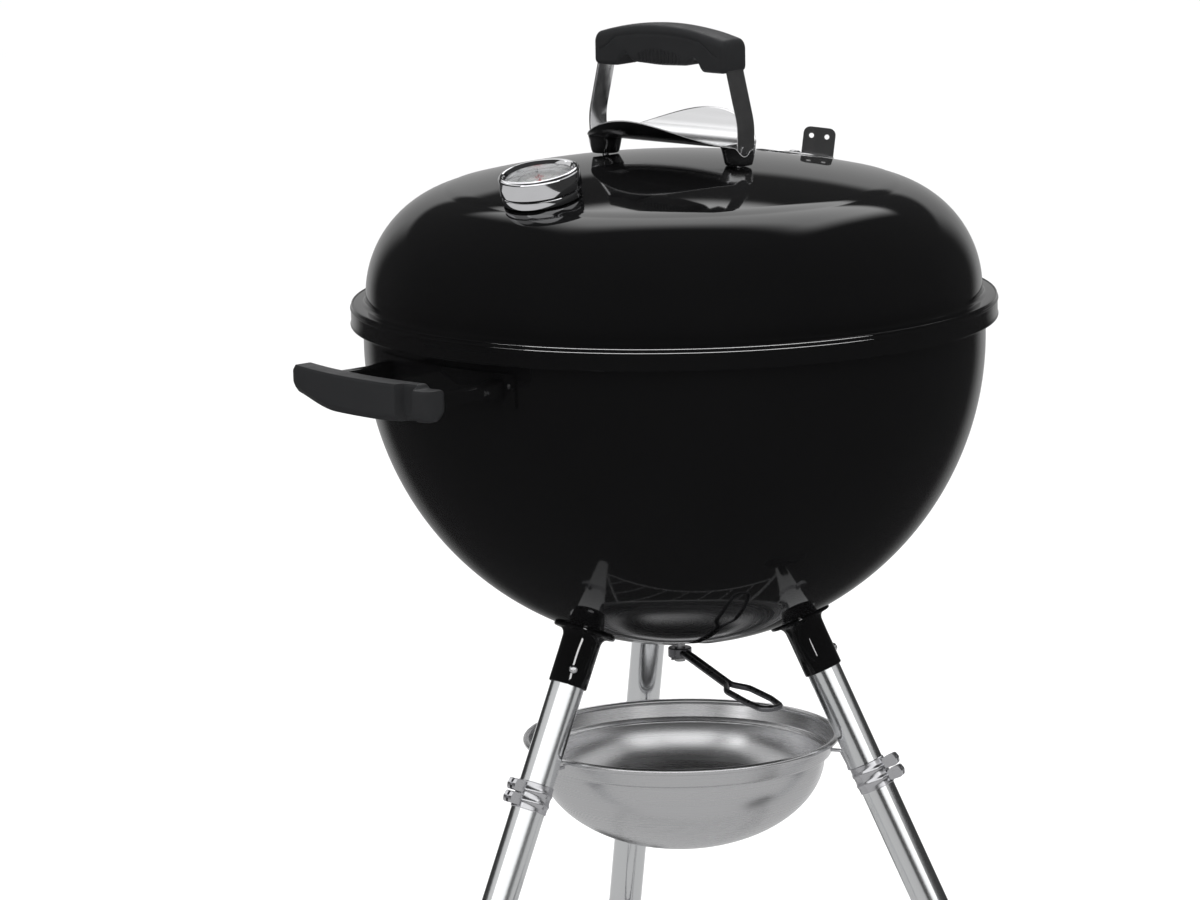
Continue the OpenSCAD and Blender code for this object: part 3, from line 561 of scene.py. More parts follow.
def make_grip():
    """Moulded grip: arched top, deep ends, finger recess, ribs and an inset arch line on each side."""
    half = GRIP_HALF
    low_z = GRIP_TOP - 41
    end_top = GRIP_TOP - 11
    bm = bmesh.new()
    steps = 340
    rings = []
    for i in range(steps + 1):
        y = half * (2 * i / steps - 1)
        end = max(0.0, 5 - (half - abs(y)))
        inset = 5 - math.sqrt(max(0.0, 25 - end * end))
        top = end_top + (GRIP_TOP - end_top) * (1 - (y / half) ** 2) - inset
        low = low_z + 4.6 * smooth((52 - abs(y)) / 6) + 6.5 * math.exp(-((abs(y) - 41) / 6.0) ** 2) + inset * 0.6
        low -= 1.2 * math.exp(-(y / 22) ** 2)
        wide = 17 - inset - 1.2 * smooth((60 - abs(y)) / 30)
        crown, belly = 7.5, 4.5
        outline = rounded([((-wide, low), belly), ((wide, low), belly), ((wide, top - 1.5), crown), ((0, top), 60),
                           ((-wide, top - 1.5), crown)], True, 7)
        ring = []
        for k in range(len(outline)):
            a, b = outline[k], outline[(k + 1) % len(outline)]
            ring.append(a)
            if (b - a).length > 6 and abs(a.x - b.x) < 2:
                ring += [a.lerp(b, m / 26) for m in range(1, 26)]
        spots = []
        for q in ring:
            x, z = q.x, q.y
            rib_top = low + 14 - 7 * (y / 27) ** 2
            if abs(y) < 27 and low + 2 < z < rib_top + 1.5 and abs(x) > wide - 1.5:
                dip = 1.3 * (0.5 - 0.5 * math.cos(2 * math.pi * y / 4.4)) * smooth((rib_top + 1.5 - z) / 3)
                x -= math.copysign(dip, x)
            line_z = top - 9 - 8.0 * smooth((abs(y) - 48) / 20)
            if abs(x) > wide - 1.2 and abs(y) < 70 and low + 3 < z < top - 5:
                x -= math.copysign(0.9 * math.exp(-((z - line_z) / 1.1) ** 2), x)
            spots.append(bm.verts.new((x, y, z)))
        rings.append(spots)
    skin(bm, rings)
    add(build("lid_grip_moulding", bm, LID, sharp=50), "lid", "nylon", "lid_grip")


make_grip()


# ---- thermometer ----

def make_gauge():
    bm = bmesh.new()
    lathe(bm, [(33, 2), (33, 7.6), (33.4, 8), (35.2, 8), (35.8, 7.4), (36, 6.5), (36, 1), (35.2, 0.2), (34, 0),
               (0, 0), (0, 2)], 128)
    add(build("thermometer_ring_base", bm, GAUGE, sharp=30), "lid", "chrome", "thermometer_base")
    bm = bmesh.new()
    lathe(bm, [(33.5, 8.6), (35.9, 8.6), (36.6, 8.9), (37, 9.6), (37, 23.2), (36.8, 24.2), (36.2, 25.2), (35.4, 26.0),
               (34.4, 26.4), (33.4, 26.5), (32.6, 26.2), (31.9, 25.6), (30.4, 23.4), (30.0, 22.9), (30, 22.5),
               (34, 22.5), (34, 12), (33.5, 12)], 128, loop=True)
    add(build("thermometer_bezel_ring", bm, GAUGE, sharp=24), "lid", "chrome", "thermometer_bezel")
    bm = bmesh.new()
    lathe(bm, [(0, 20.6), (33.6, 20.6), (33.9, 20.9), (33.9, 22.1), (33.6, 22.4), (0, 22.5)], 96)
    add(build("thermometer_glass", bm, GAUGE), "lid", "glass", "thermometer_lens")
    bm = bmesh.new()
    lathe(bm, [(1.6, 12.2), (33.9, 12.2), (33.9, 12.9), (33.6, 13.0), (1.6, 13.0)], 96, loop=True)
    add(build("thermometer_dial_plate", bm, GAUGE), "lid", "dial_face", "thermometer_dial")
    ink = bmesh.new()
    for k in range(55):
        a = 225 - 270 * k / 54
        long = 5.0 if k % 6 == 0 else 2.8
        thick = 0.5 if k % 6 == 0 else 0.28
        radial, across = Vector((cos(a), sin(a), 0)), Vector((-sin(a), cos(a), 0)) * thick
        a0, b0 = radial * (28.5 - long), radial * 28.5
        plate(ink, [a0 - across, b0 - across, b0 + across, a0 + across], 12.98, 13.06)
    outline = arc(0, 0, 29.3, 225, -45, 90) + arc(0, 0, 28.9, -45, 225, 90)
    plate(ink, outline, 12.98, 13.06)
    outline = arc(0, 0, 19.4, 135, 0, 50) + arc(0, 0, 18.2, 0, 135, 50)
    plate(ink, outline, 12.98, 13.06)
    add(build("thermometer_scale", ink, GAUGE), "lid", "wheel_plastic")
    needle = bmesh.new()
    lathe(needle, [(1.05, 14.2), (3.7, 14.2), (4.0, 14.5), (4.0, 15.2), (3.6, 15.6), (1.05, 15.6)], 40, loop=True)
    outline = [(-9, -1.3), (-4, -1.0), (18, -0.75), (26, -0.15), (26, 0.15), (18, 0.75), (-4, 1.0), (-9, 1.3)]
    plate(needle, [turned(x, y, 225) for x, y in outline], 14.45, 15.15)
    add(build("thermometer_pointer", needle, GAUGE), "needle", "needle_red", "thermometer_needle")


make_gauge()


# ---- damper ----

def make_damper():
    def dished(p):
        away = math.hypot(p.x, p.y)
        return Vector((p.x, p.y, p.z - away * away / (2 * CROWN_R)))

    bm = bmesh.new()
    profile = [(3, 0.45), (14, 0.45), (24, 0.45), (33.5, 0.45), (36.4, 0.45), (36.9, 0.75), (36.9, 1.15), (36.4, 1.5),
               (34.6, 1.55), (33.6, 1.35), (32.6, 1.3), (24, 1.3), (14, 1.3), (10.5, 1.5), (9.5, 1.9), (7, 2.0),
               (3, 2.0)]
    lathe(bm, profile, 144, loop=True, move=dished)
    obj = build("damper_disc", bm, DAMPER, sharp=30)
    cutter = bmesh.new()
    for a in (0, 120, 240):
        plate(cutter, [(x + VENT_AT * cos(a), y + VENT_AT * sin(a)) for x, y in circle(VENT_R, 40)], -8, 8)
    cut(obj, cutter, DAMPER, sharp=30)
    add(obj, "lid_damper", "bright_steel", "damper")
    tab = bmesh.new()
    outline = rounded([((5.8, 0.6), 0.6), ((36, 0.6), 0.6), ((36, 27.4), 6.5), ((5.8, 27.4), 6.5)], True, 8)
    plate(tab, outline, -0.6, 0.6)
    dimple = bmesh.new()
    for x in (13.5, 28.0):
        plate(dimple, [(x + px, 19 + py) for px, py in circle(2.3, 28)], -3, 3)
    place = DAMPER @ spin("Z", -50) @ spin("X", 90)
    tab_obj = cut(build("damper_tab", tab, place), dimple, place)
    soft = tab_obj.modifiers.new("soft_edges", "BEVEL")
    soft.width = 0.3 * MM
    soft.segments = 2
    soft.limit_method = "ANGLE"
    add(tab_obj, "lid_damper", "bright_steel", "damper")
    bm = bmesh.new()
    lathe(bm, [(0, 1.7), (5.3, 1.7), (5.5, 2.0), (4.9, 2.9), (3.2, 3.5), (0, 3.65)], 48)
    lathe(bm, [(0, -4), (2.95, -4), (2.95, 1.8), (0, 1.8)], 32)
    lathe(bm, [(0, -4), (4.6, -4), (5, -3.6), (5, -2.1), (4.7, -1.8), (0, -1.8)], 40)
    add(build("damper_rivet_head", bm, DAMPER), "lid", "plated_steel", "damper_rivet")


make_damper()


# ---- side handle ----

side_low, side_high = span("side_handle")
SIDE_X = side_low.x
SIDE_Z = (side_low.z + side_high.z) / 2


def make_side_handle():
    """Curved bar with a pocket in its face before the stepped ear at each end, and two arms."""
    half = (side_high.y - side_low.y) / 2
    curve = 410
    top = side_high.z
    bm = bmesh.new()
    steps = 220
    limit = math.degrees(math.asin(half / curve))
    rings = []
    for i in range(steps + 1):
        a = limit * (2 * i / steps - 1)
        y = curve * sin(a)
        inward = curve * (1 - cos(a))
        end = max(0.0, 7 - (half - abs(y)))
        inset = 7 - math.sqrt(max(0.0, 49 - end * end))
        depth = 35 - (10 if y > 0 else 2.5) * smooth((abs(y) - 24) / (half - 24)) - inset
        low = top - depth
        face = SIDE_X + inward + inset * 0.6
        back = face + 22 - inset * 1.2
        if y < 0:
            pocket = smooth((-y - 60) / 2.5) * (1 - smooth((-y - 77) / 3))
            hook = 4 * smooth((-y - 76) / 5)
        else:
            pocket = 0.35 * smooth((y - 85) / 1.5)
            hook = 4 * smooth((y - 85) / 4)
        face += 8 * pocket
        thick = back - face
        outline = rounded([((face + 1.5, top - hook), 1.4), ((back, top - hook), 4), ((back, low + 6), 5),
                           ((back - 0.3 * thick, low), 5), ((face + 0.25 * thick, low), 5), ((face, low + 7), 6),
                           ((face, top - hook - 2.4), 1.6)], True, 5)
        rings.append([bm.verts.new((q.x, y, q.y)) for q in outline])
    skin(bm, rings)
    add(build("side_handle_bar", bm, sharp=40), "stand", "nylon", "side_handle")
    for side, name in ((1, "far"), (-1, "near")):
        arm = bmesh.new()
        inner_x = -math.sqrt((BOWL_R + 2.5) ** 2 - (74 * 74))
        stations = [(SIDE_X + 21, 14, 15), (SIDE_X + 30, 13, 14), (inner_x - 22, 12, 14), (inner_x - 8, 14, 17),
                    (inner_x + 1.5, 15, 20)]
        rings = []
        for x, wide, tall in stations:
            outline = rounded([((-wide / 2, -tall / 2), 3), ((wide / 2, -tall / 2), 3), ((wide / 2, tall / 2), 3),
                               ((-wide / 2, tall / 2), 3)], True, 5)
            ring = []
            for q in outline:
                y = 74 * side + q.x
                fit = -math.sqrt((BOWL_R + 2.6) ** 2 - y * y)
                ring.append(arm.verts.new((min(x, fit), y, SIDE_Z + q.y)))
            rings.append(ring)
        skin(arm, rings)
        add(build("side_handle_arm_" + name, arm), "stand", "enamel", "side_handle")


make_side_handle()


# ---- sockets, legs, buttons ----

def above_bowl(leg, rho, phi, lift):
    """Point above the bowl's skin by lift, at distance rho from the leg's line, in the leg's frame."""
    centre = leg.inverted() @ Vector((0, 0, BOWL_Z * MM)) / MM
    x, y = rho * cos(phi), rho * sin(phi)
    reach = BOWL_R + lift
    dx, dy = x - centre.x, y - centre.y
    return Vector((x, y, centre.z + math.sqrt(max(0.0, reach * reach - dx * dx - dy * dy))))


def make_socket(name, azimuth):
    leg = leg_frame(azimuth)
    low_s = (LEG_TOP_Z - span("socket_foot_leg")[0].z - 18 * sin(TILT)) / cos(TILT)
    bm = bmesh.new()
    turns = 96
    rings = []
    for rho, lift in ((28.2, -0.4), (28.9, 0.3), (29.0, 1.6), (28.5, 2.7), (27.5, 3.0), (24.5, 3.0), (22.2, 3.2),
                      (20.4, 4.2), (19.0, 6.0), (18.2, 8.6)):
        rings.append([bm.verts.new(above_bowl(leg, rho, 360 * k / turns, lift)) for k in range(turns)])
    for r, s in ((18, 20), (18, 26), (18, low_s * 0.7), (18, low_s - 1.0), (17.7, low_s - 0.3), (17.2, low_s),
                 (16.4, low_s), (16.0, low_s - 0.5), (16.0, low_s - 20)):
        rings.append([bm.verts.new((r * cos(360 * k / turns), r * sin(360 * k / turns), s)) for k in range(turns)])
    skin(bm, rings, caps=False)
    add(build("socket_sleeve_" + name, bm, leg, sharp=50), "stand", "enamel",
        {"foot_leg": "socket_foot_leg", "left": "socket_left", "right": "socket_right"}[name])


def make_leg(name, azimuth, node, length):
    bm = bmesh.new()
    r = LEG_R
    lathe(bm, [(r - 1, 12), (r, 10.6), (r, 40), (r, 80), (r, length * 0.5), (r, length - 60), (r, length - 0.5),
               (r - 0.4, length), (r - 0.7, length), (r - 1, length - 0.4), (r - 1, length - 60), (r - 1, 60)], 96,
          loop=True)
    add(build("leg_tube_" + name, bm, leg_frame(azimuth)), "stand", "leg_aluminium", node)


def make_button(name, azimuth, node, body, joint):
    low, high = span(node)
    leg = leg_frame(azimuth)
    along = (leg.to_3x3() @ Vector((0, 0, 1))).normalized()
    start = leg.translation / MM
    s = ((low + high) / 2 - start).dot(along)
    out = -Vector(JOINTS[joint]["axis"])
    place = axes_frame(start + along * s, out, -along)
    bm = bmesh.new()
    lathe(bm, [(0, 10.5), (5.0, 10.5), (5.2, 10.7), (5.2, 11.9), (4.9, 12.1), (3.9, 12.1), (3.9, 20.4), (3.6, 21.1),
               (2.8, 21.75), (1.6, 22.1), (0, 22.22)], 48)
    add(build("snap_button_" + name, bm, place), body, "plated_steel", node)


foot_place = leg_frame(180)
for name, azimuth in LEGS.items():
    make_socket(name, azimuth)
    node = {"foot_leg": "leg_foot_side", "left": "leg_wheel_left", "right": "leg_wheel_right"}[name]
    length = LEG_LEN
    if name != "foot_leg":
        low, high = span(node)
        length = (LEG_TOP_Z - low.z - LEG_R * sin(TILT)) / cos(TILT)
    make_leg(name, azimuth, node, length)
    button = {"foot_leg": "button_foot_leg", "left": "button_left", "right": "button_right"}[name]
    make_button(name, azimuth, button, name + "_button", name + "_button_press")


def make_foot():
    """Rubbery cap with a round nose that's flat where it stands, and two grip rings."""
    bm = bmesh.new()
    s = LEG_LEN
    r = 17.6
    profile = [(15.9, s - 35.4), (16.6, s - 36), (17.0, s - 35.9), (17.5, s - 35.2), (r, s - 34), (r, s - 26),
               (r - 0.6, s - 25), (r - 0.6, s - 24), (r, s - 23), (r, s - 20), (r - 0.6, s - 19), (r - 0.6, s - 18),
               (r, s - 17), (r, s - 6)]
    profile += [(r * cos(a), s + r * sin(a)) for a in range(0, 91, 6)]
    profile[-1] = (0, s + r)
    rings = lathe(bm, profile, 96)
    flat = foot_place.inverted()
    for ring in rings:
        for v in ring:
            world = foot_place @ (v.co * MM)
            if world.z < 0:
                world.z = 0
                v.co = (flat @ world) / MM
    foot_cap = build("foot_cap_moulding", bm, sharp=50)
    foot_cap.data.transform(foot_place)
    add(foot_cap, "stand", "wheel_plastic", "foot_cap")


make_foot()


# ---- wheels and axle ----

def wheel_place(name):
    return Vector(JOINTS[name + "_wheel_spin"]["pos_m"]) / MM


wheel_low, wheel_high = span("wheel_left")
WHEEL_R = (wheel_high.z - wheel_low.z) / 2
WHEEL_HALF = (wheel_high.y - wheel_low.y) / 2


def make_wheel(side, name):
    """Moulded wheel: ribbed tread, dished web, ten spokes on each face and a hub."""
    spot = wheel_place(name)
    place = shift(spot.x, spot.y, spot.z) @ spin("X", -90 * side)
    r, h = WHEEL_R, WHEEL_HALF
    bm = bmesh.new()
    lanes = 9
    tread = arc(r - 5, -h + 5, 5, -90, -8, 8)
    for k in range(lanes):
        z0 = -h + 6 + (2 * h - 12) * k / lanes
        z1 = -h + 6 + (2 * h - 12) * (k + 1) / lanes
        tread += [(r, z0 + 0.35), (r, z1 - 0.75), (r - 0.9, z1 - 0.45), (r - 0.9, z1 - 0.1)]
    tread += arc(r - 5, h - 5, 5, 8, 90, 8)
    inner = [(r - 8.6, h), (r - 9.2, h - 0.6), (r - 11.2, 4.2), (r - 13.5, 3), (20, 3), (13, 3), (13, -3), (20, -3),
             (r - 13.5, -3), (r - 11.2, -4.2), (r - 9.2, -h + 0.6), (r - 8.6, -h)]
    lathe(bm, tread + inner, 180, loop=True)
    lathe(bm, [(4.85, -h + 0.4), (5.3, -h), (13.6, -h), (14.6, -h + 0.8), (15, 0), (14.6, h - 0.8), (13.6, h),
               (5.3, h), (4.85, h - 0.4)], 96, loop=True)
    for k in range(10):
        a = 36 * k
        for face in (1, -1):
            outline = [(13, -2.6), (r - 9.5, -1.8), (r - 9.5, 1.8), (13, 2.6)]
            z0, z1 = sorted((2.5 * face, (h - 3.5) * face))
            plate(bm, [turned(x, y, a) for x, y in outline], z0, z1)
    add(build("wheel_moulding_" + name, bm, place, sharp=32), name + "_wheel", "wheel_plastic", "wheel_" + name)
    cap = bmesh.new()
    base = WHEEL_HALF
    lathe(cap, [(11, base), (18.4, base), (19, base + 0.6), (19, base + 2.2), (18.4, base + 2.8), (17.4, base + 3.0),
                (16.6, base + 3.3), (14, base + 4.2), (10, base + 5.3), (5, base + 5.9), (0, base + 6.0),
                (0, base + 4.0), (11, base + 4.0)], 96)
    add(build("hub_cap_dome_" + name, cap, place, sharp=30), name + "_wheel", "bright_steel", "hub_cap_" + name)


make_wheel(1, "left")
make_wheel(-1, "right")


def make_axle():
    low, high = span("axle")
    spot = wheel_place("left")
    r = (high.z - low.z) / 2
    bm = bmesh.new()
    lathe(bm, [(0, low.y), (r - 0.8, low.y), (r, low.y + 0.8), (r, 0), (r, high.y - 0.8), (r - 0.8, high.y),
               (0, high.y)], 48)
    add(build("axle_rod", bm, shift(spot.x, 0, spot.z) @ spin("X", -90)), "stand", "plated_steel", "axle")


make_axle()


# ---- bottom rack ----

def make_rack():
    low, high = span("bottom_rack")
    z = (low.z + high.z) / 2
    leg_r = LEG_TOP_R + (LEG_TOP_Z - z) * math.tan(math.radians(TILT))
    corner = leg_r - 27
    spots = [Vector((corner * cos(a), corner * sin(a), z)) for a in LEGS.values()]
    bm = bmesh.new()
    wire(bm, [(p, 9) for p in spots], 3, closed=True)
    for a in LEGS.values():
        wire(bm, [((x * cos(a), x * sin(a), z), 0) for x in (corner - 7, leg_r - 5)], 2.8)
    slope = (spots[1].x - spots[0].x) / spots[1].y
    for k in range(1, 8):
        y = spots[1].y * k / 8
        x = spots[0].x + slope * y
        wire(bm, [((x, -y, z + 0.5), 0), ((x, y, z + 0.5), 0)], 2, sides=16)
    add(build("bottom_rack_wires", bm), "stand", "plated_steel", "bottom_rack")


make_rack()


# ---- ash pan and clips ----

pan_low, pan_high = span("ash_pan")
PAN_R = pan_high.x
PAN_RIM = pan_high.z - 3
PAN_BOTTOM = pan_low.z


def make_pan():
    def outline(t):
        wide, deep = PAN_R - 13.8 - t, PAN_RIM - 17 - PAN_BOTTOM
        points = [(wide * sin(a), PAN_RIM - 17 - (deep - t) * cos(a)) for a in [90 * k / 72 for k in range(72)]]
        foot = [((wide, PAN_RIM - 17 + t / 2), 1.8), ((PAN_R - 8 - t, PAN_RIM - 15 + t), 2.0),
                ((PAN_R - 4 - t, PAN_RIM - 1), 0)]
        points += [(p.x, p.y) for p in rounded([(points[-1], 0)] + foot, steps=6)[1:]]
        return points

    ring_r = PAN_R - 3
    outer, inner = outline(0), outline(1)
    meet_out = math.degrees(math.acos((outer[-1][0] - ring_r) / 3.0))
    meet_in = math.degrees(math.acos(max(-1.0, (inner[-1][0] - ring_r) / 3.0)))
    bead = arc(ring_r, PAN_RIM, 3, -meet_out, 360 - meet_in, 22)
    bm = bmesh.new()
    lathe(bm, outer[:-1] + bead + inner[:-1][::-1], 220)
    add(build("ash_pan_spun", bm, sharp=30), "pan", "pan_aluminium", "ash_pan")


make_pan()


def make_clip(name, azimuth):
    """Spring band with two pressed ribs, two lobed ears outside and a wire tongue under the pan's rim."""
    leg = leg_frame(azimuth)
    clip_z = PAN_RIM - 26
    s = (LEG_TOP_Z - clip_z) / cos(TILT)
    bm = bmesh.new()
    r = LEG_R
    outer = [(r + 0.95, s - 12.4), (r + 0.95, s - 9.4)]
    for mid in (-5.0, 5.0):
        outer += [(r + 0.95 + 0.9 * math.exp(-((k - 4) / 1.9) ** 2), s + mid - 4 + k) for k in range(9)]
    outer += [(r + 0.95, s + 9.4), (r + 0.95, s + 12.4), (r + 0.5, s + 12.9), (r + 0.05, s + 12.6),
              (r + 0.05, s - 12.6), (r + 0.5, s - 12.9)]
    lathe(bm, outer, 96, loop=True)
    for k in (-1, 1):
        for flank in (-1, 1):
            ear = [(-r - 0.4, -4.9), (-r - 12.4, -5.5), (-r - 14, 0), (-r - 12.4, 5.5), (-r - 0.4, 4.9)]
            shape = rounded([(p, 2.4) for p in ear], True, 5)
            y0, y1 = sorted((flank * 1.4, flank * 5.4))
            skin(bm, [[bm.verts.new((q.x, y, s + 6 * k + q.y)) for q in shape] for y in (y0, y1)])
        skin(bm, [[bm.verts.new((px - r - 10.4, y, pz + s + 6 * k)) for px, pz in circle(2.2, 18)]
                  for y in (-5.0, 5.0)])
    back = leg.inverted()
    face = LEG_TOP_R + (LEG_TOP_Z - clip_z - 7) * math.tan(math.radians(TILT)) - LEG_R / cos(TILT)
    tongue_z = PAN_RIM - 4.7

    def local(rho, z):
        return back @ (Vector((rho * cos(azimuth), rho * sin(azimuth), z)) * MM) / MM

    meet = face - (tongue_z - clip_z - 7) * math.tan(math.radians(TILT))
    wire(bm, [(local(PAN_R - 2.5, tongue_z), 0), (local(meet - 2.2, tongue_z), 3),
              (local(face - 2.2, clip_z + 9), 3), (local(face - 0.4, clip_z + 3), 0)], 1.7)
    add(build("pan_clip_band_" + name, bm, leg, sharp=36), "stand", "spring_steel", "pan_clip_" + name)


for name, azimuth in LEGS.items():
    make_clip(name, azimuth)


# ---- ash lever ----

def make_lever():
    """Rod bent into a handle loop, with a collar that grips the sweeper's shaft."""
    z = JOINTS["sweeper_turn"]["pos_m"][2] / MM
    half = 13
    out_side = [((9, 2.6, z), 0), ((24, 2.6, z - 2.2), 10), ((88, 2.6, z - 13), 10), ((95, 2.6, z - 14), 12),
                ((112, half - 1, z - 15.2), 16), ((150, half, z - 17.6), 20), ((177, half - 3, z - 20), 9)]
    back_side = [((x, -y, drop), r) for (x, y, drop), r in reversed(out_side)]
    bm = bmesh.new()
    wire(bm, out_side + back_side, 2.9)
    lathe(bm, [(5.05, z - 5), (10.2, z - 5), (11, z - 4.2), (11, z + 3.2), (10.2, z + 4), (5.05, z + 4)], 72,
          loop=True)
    add(build("ash_lever_rod", bm, spin("Z", -104)), "sweeper", "dark_steel", "ash_lever")


make_lever()


# ---- grates ----

def make_grate(name, node, body, pitch, count, rods, slot):
    low, high = span(node)
    z = low.z + 3.5
    ring = high.x - 3.5
    bm = bmesh.new()
    path = [Vector((ring * cos(a), ring * sin(a), z)) for a in range(0, 360, 2)]
    sweep(bm, path, circle(3.5, 20), closed=True)
    for k in range(count):
        x = (k - (count - 1) / 2) * pitch
        y = math.sqrt(ring * ring - x * x)
        wire(bm, [((x, -y, z + 0.9), 0), ((x, y, z + 0.9), 0)], 2.5, sides=16)
    for x in rods:
        y = math.sqrt(ring * ring - x * x)
        wire(bm, [((-y, x, z - 0.5), 0), ((y, x, z - 0.5), 0)], 2.9, sides=16)
    add(build(name, bm), body, slot, node)
    return ring, z


grate_ring, grate_z = make_grate("cooking_grate_wires", "cooking_grate", "cooking_rack", 20.5, 26, (-110, 110),
                                 "grate_steel")
make_grate("charcoal_grate_wires", "coal_grate", "charcoal_rack", 29, 14, (-90, 90), "grate_steel")
foot_x = math.sqrt(grate_ring ** 2 - 45 * 45)
for side, name in ((0, "front"), (180, "back")):
    bail = bmesh.new()
    wire(bail, [((foot_x, -45, grate_z), 0), ((foot_x - 26, -45, grate_z + 32), 9),
                ((foot_x - 26, 45, grate_z + 32), 9), ((foot_x, 45, grate_z), 0)], 3.5)
    add(build("grate_handle_" + name, bail, spin("Z", side)), "cooking_rack", "grate_steel", "grate_handles")


# ---- CAD nodes that stay, with their finishes ----

SLOT_OF = {p["node"]: p["material_slot"] for p in RECORD["subparts"]}
for node_name, node_obj in frame["nodes"].items():
    if node_obj.hide_render:
        continue
    node_obj.data.materials.clear()
    node_obj.data.materials.append(MATERIALS[SLOT_OF[node_name]])


# ---- floor, light and camera ----

def stage_floor():
    bm = bmesh.new()
    rings = []
    for r in (0, 400, 900, 1600, 2600, 4200, 7000, 12000, 20000, 40000):
        if r == 0:
            rings.append([bm.verts.new((0, 0, 0))])
        else:
            rings.append([bm.verts.new((r * cos(360 * i / 96), r * sin(360 * i / 96), 0)) for i in range(96)])
    skin(bm, rings, caps=False)
    obj = build("studio_floor", bm)
    mat = bpy.data.materials.new("studio_floor")
    mat.use_nodes = True
    nodes, links = mat.node_tree.nodes, mat.node_tree.links
    shader = nodes["Principled BSDF"]
    shader.inputs["Roughness"].default_value = 0.9
    fleck = nodes.new("ShaderNodeTexNoise")
    fleck.inputs["Scale"].default_value = 3
    links.new(nodes.new("ShaderNodeTexCoord").outputs["Object"], fleck.inputs["Vector"])
    shade = nodes.new("ShaderNodeMix")
    shade.data_type = "RGBA"
    shade.inputs["A"].default_value = (0.86, 0.86, 0.87, 1)
    shade.inputs["B"].default_value = (0.90, 0.90, 0.90, 1)
    links.new(fleck.outputs["Fac"], shade.inputs["Factor"])
    links.new(shade.outputs["Result"], shader.inputs["Base Color"])
    obj.data.materials.append(mat)
    obj.visible_glossy = False


stage_floor()

# Degrees from the object's front to the camera's viewing direction
HEADING = -42.0


def studio_world():
    """Even pale surroundings for the eye, and a dark studio with soft panels for reflections."""
    world = bpy.data.worlds.new("studio")
    scene.world = world
    world.use_nodes = True
    nodes, links = world.node_tree.nodes, world.node_tree.links
    nodes.clear()
    out = nodes.new("ShaderNodeOutputWorld")
    mix = nodes.new("ShaderNodeMixShader")
    links.new(mix.outputs[0], out.inputs[0])
    path = nodes.new("ShaderNodeLightPath")
    links.new(path.outputs["Is Glossy Ray"], mix.inputs[0])
    plain = nodes.new("ShaderNodeBackground")
    plain.inputs["Color"].default_value = (1, 1, 1, 1)
    plain.inputs["Strength"].default_value = 1.2
    links.new(plain.outputs[0], mix.inputs[1])
    panels = nodes.new("ShaderNodeBackground")
    links.new(panels.outputs[0], mix.inputs[2])
    coords = nodes.new("ShaderNodeTexCoord")
    turn = nodes.new("ShaderNodeVectorRotate")
    turn.rotation_type = "Z_AXIS"
    turn.inputs["Angle"].default_value = math.radians(-HEADING)
    links.new(coords.outputs["Generated"], turn.inputs["Vector"])
    parts = nodes.new("ShaderNodeSeparateXYZ")
    links.new(turn.outputs[0], parts.inputs[0])

    def ramp(source, start, end):
        node = nodes.new("ShaderNodeMapRange")
        node.interpolation_type = "SMOOTHSTEP"
        node.inputs["From Min"].default_value = start
        node.inputs["From Max"].default_value = end
        links.new(source, node.inputs["Value"])
        return node.outputs[0]

    def combine(operation, a, b):
        node = nodes.new("ShaderNodeMath")
        node.operation = operation
        for socket, value in zip(node.inputs, (a, b)):
            if isinstance(value, (int, float)):
                socket.default_value = value
            else:
                links.new(value, socket)
        return node.outputs[0]

    right, away, up = parts.outputs["X"], parts.outputs["Y"], parts.outputs["Z"]
    total = STUDIO_GLOW
    for strength, windows in PANELS:
        level = strength
        for axis, start, end in windows:
            level = combine("MULTIPLY", level, ramp({"x": right, "y": away, "z": up}[axis], start, end))
        total = combine("ADD", total, level)
    links.new(total, panels.inputs["Strength"])


STUDIO_GLOW = 0.045
# Soft panels by direction: x is to the camera's right, y away from it and z up
PANELS = [
    (2.0, [("z", 0.49, 0.54), ("z", 0.92, 0.79), ("y", 0.15, 0.4), ("x", -0.32, -0.14), ("x", 0.43, 0.30)]),
    (0.5, [("y", 0.70, 0.86), ("x", -0.60, -0.33), ("x", 0.60, 0.33), ("z", -0.6, -0.1), ("z", 0.33, 0.27)]),
]
studio_world()


METALS = {MATERIALS[slot] for slot in ("leg_aluminium", "pan_aluminium", "bright_steel", "plated_steel",
                                       "spring_steel", "dark_steel", "sweeper_steel", "chrome", "grate_steel")}
metal_parts = bpy.data.collections.new("metal_parts")
socket_parts = bpy.data.collections.new("socket_parts")
lid_parts = bpy.data.collections.new("lid_parts")
lid_parts.objects.link(bpy.data.objects["lid_edge_beads"])
for piece in bpy.data.objects:
    shaded = piece.name in ("damper_tab", "lid_strap_far")
    if piece.type == "MESH" and METALS & set(piece.data.materials) and not shaded:
        metal_parts.objects.link(piece)
    if piece.name.startswith("socket_sleeve"):
        socket_parts.objects.link(piece)


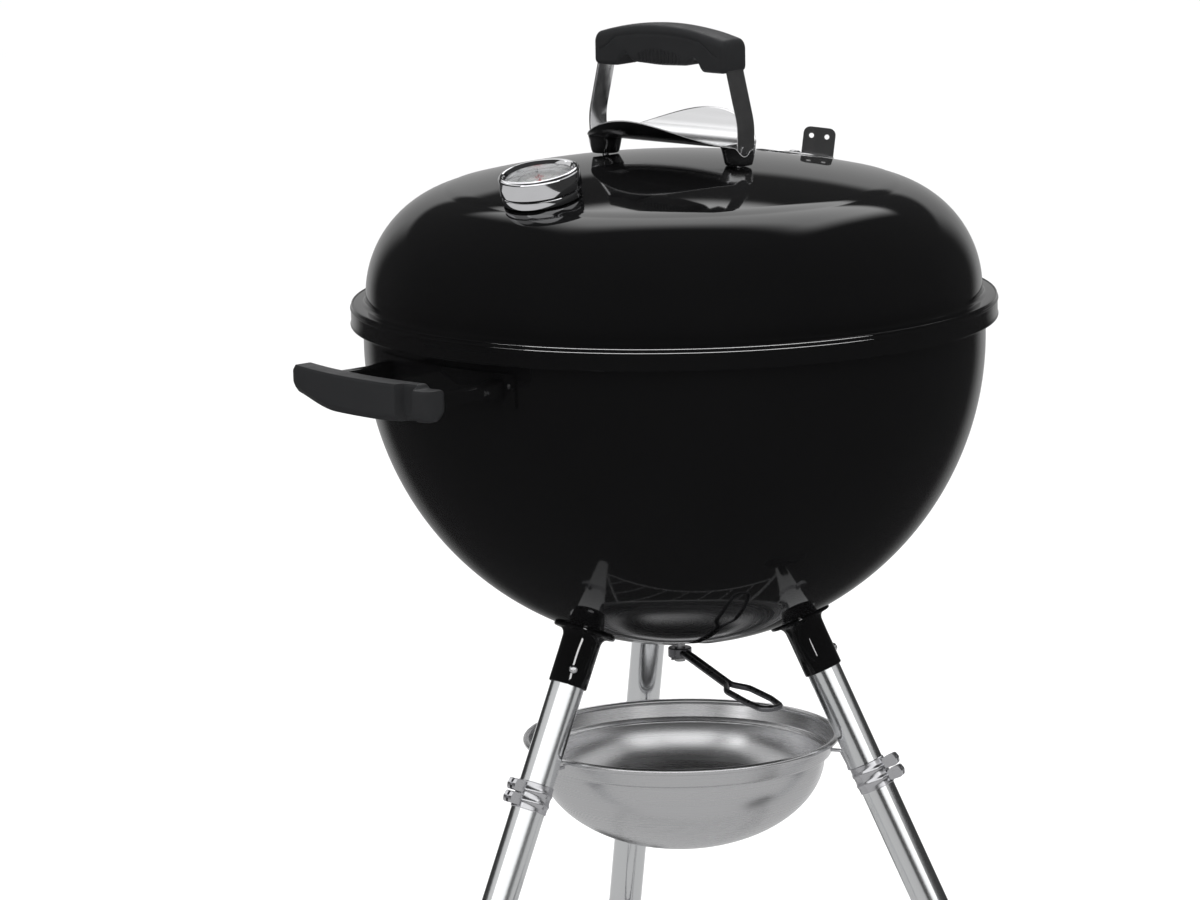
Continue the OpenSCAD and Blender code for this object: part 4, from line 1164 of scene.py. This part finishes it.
def soft_light(name, spot, target, wide, tall, radiance, parts=None):
    """A rectangular panel, placed by the camera's own right, away and up, with an even radiance."""
    data = bpy.data.lights.new(name, "AREA")
    data.shape = "RECTANGLE"
    data.size, data.size_y = wide, tall
    data.energy = radiance * wide * tall * math.pi
    lamp = bpy.data.objects.new(name, data)
    scene.collection.objects.link(lamp)
    by_camera = spin("Z", HEADING)
    lamp.location = by_camera @ Vector(spot)
    aim = by_camera @ (Vector(target) - Vector(spot))
    lamp.rotation_euler = aim.to_track_quat("-Z", "Y").to_euler()
    lamp.visible_camera = False
    lamp.visible_glossy = parts is not None
    lamp.visible_diffuse = parts in (None, metal_parts)
    if parts is not None:
        lamp.light_linking.receiver_collection = parts


soft_light("top_softbox", (0, 1.0, 3.2), (0, 0, 0.4), 2.4, 2.4, 3.3)
soft_light("metal_front", (0, -3.2, 2.05), (0, 0, 2.05), 9.0, 2.5, 1.25, metal_parts)
soft_light("metal_left", (-4.2, 0, 2.9), (0, 0, 2.9), 8.0, 2.2, 0.62, metal_parts)
soft_light("metal_right", (4.2, 0, 2.9), (0, 0, 2.9), 8.0, 2.2, 0.62, metal_parts)
soft_light("metal_top", (-1.6, 1.4, 4.0), (0, 0.3, 0.9), 3.2, 4.0, 0.85, metal_parts)
soft_light("metal_floor", (0, 0, 0.012), (0, 0, 1), 8, 8, 0.5, metal_parts)
soft_light("socket_strip", (0, -3.2, 1.5), (0, 0, 1.5), 0.55, 1.7, 16, socket_parts)
soft_light("flange_strip", (0.2, -1.25, 0.1), (0.2, -0.3, 0.8), 6.0, 0.9, 22, lid_parts)

CAMERA_LENS = 178.47
CAMERA_AWAY = 5.4
CAMERA_ABOVE_BOWL = 0.89057
CAMERA_PAN = 0.749
CAMERA_DOWN = 10.465
CAMERA_ROLL = -1.1
camera_data = bpy.data.cameras.new("photo_camera")
camera_data.sensor_width = 36
camera_data.lens = CAMERA_LENS
camera_data.clip_end = 100
camera = bpy.data.objects.new("photo_camera", camera_data)
scene.collection.objects.link(camera)
eye = (CAMERA_AWAY * sin(HEADING), -CAMERA_AWAY * cos(HEADING), BOWL_Z * MM + CAMERA_ABOVE_BOWL)
camera.matrix_world = (Matrix.Translation(eye) @ spin("Z", HEADING + CAMERA_PAN) @ spin("X", 90 - CAMERA_DOWN)
                       @ spin("Z", CAMERA_ROLL))
scene.camera = camera
scene.view_settings.view_transform = "Standard"
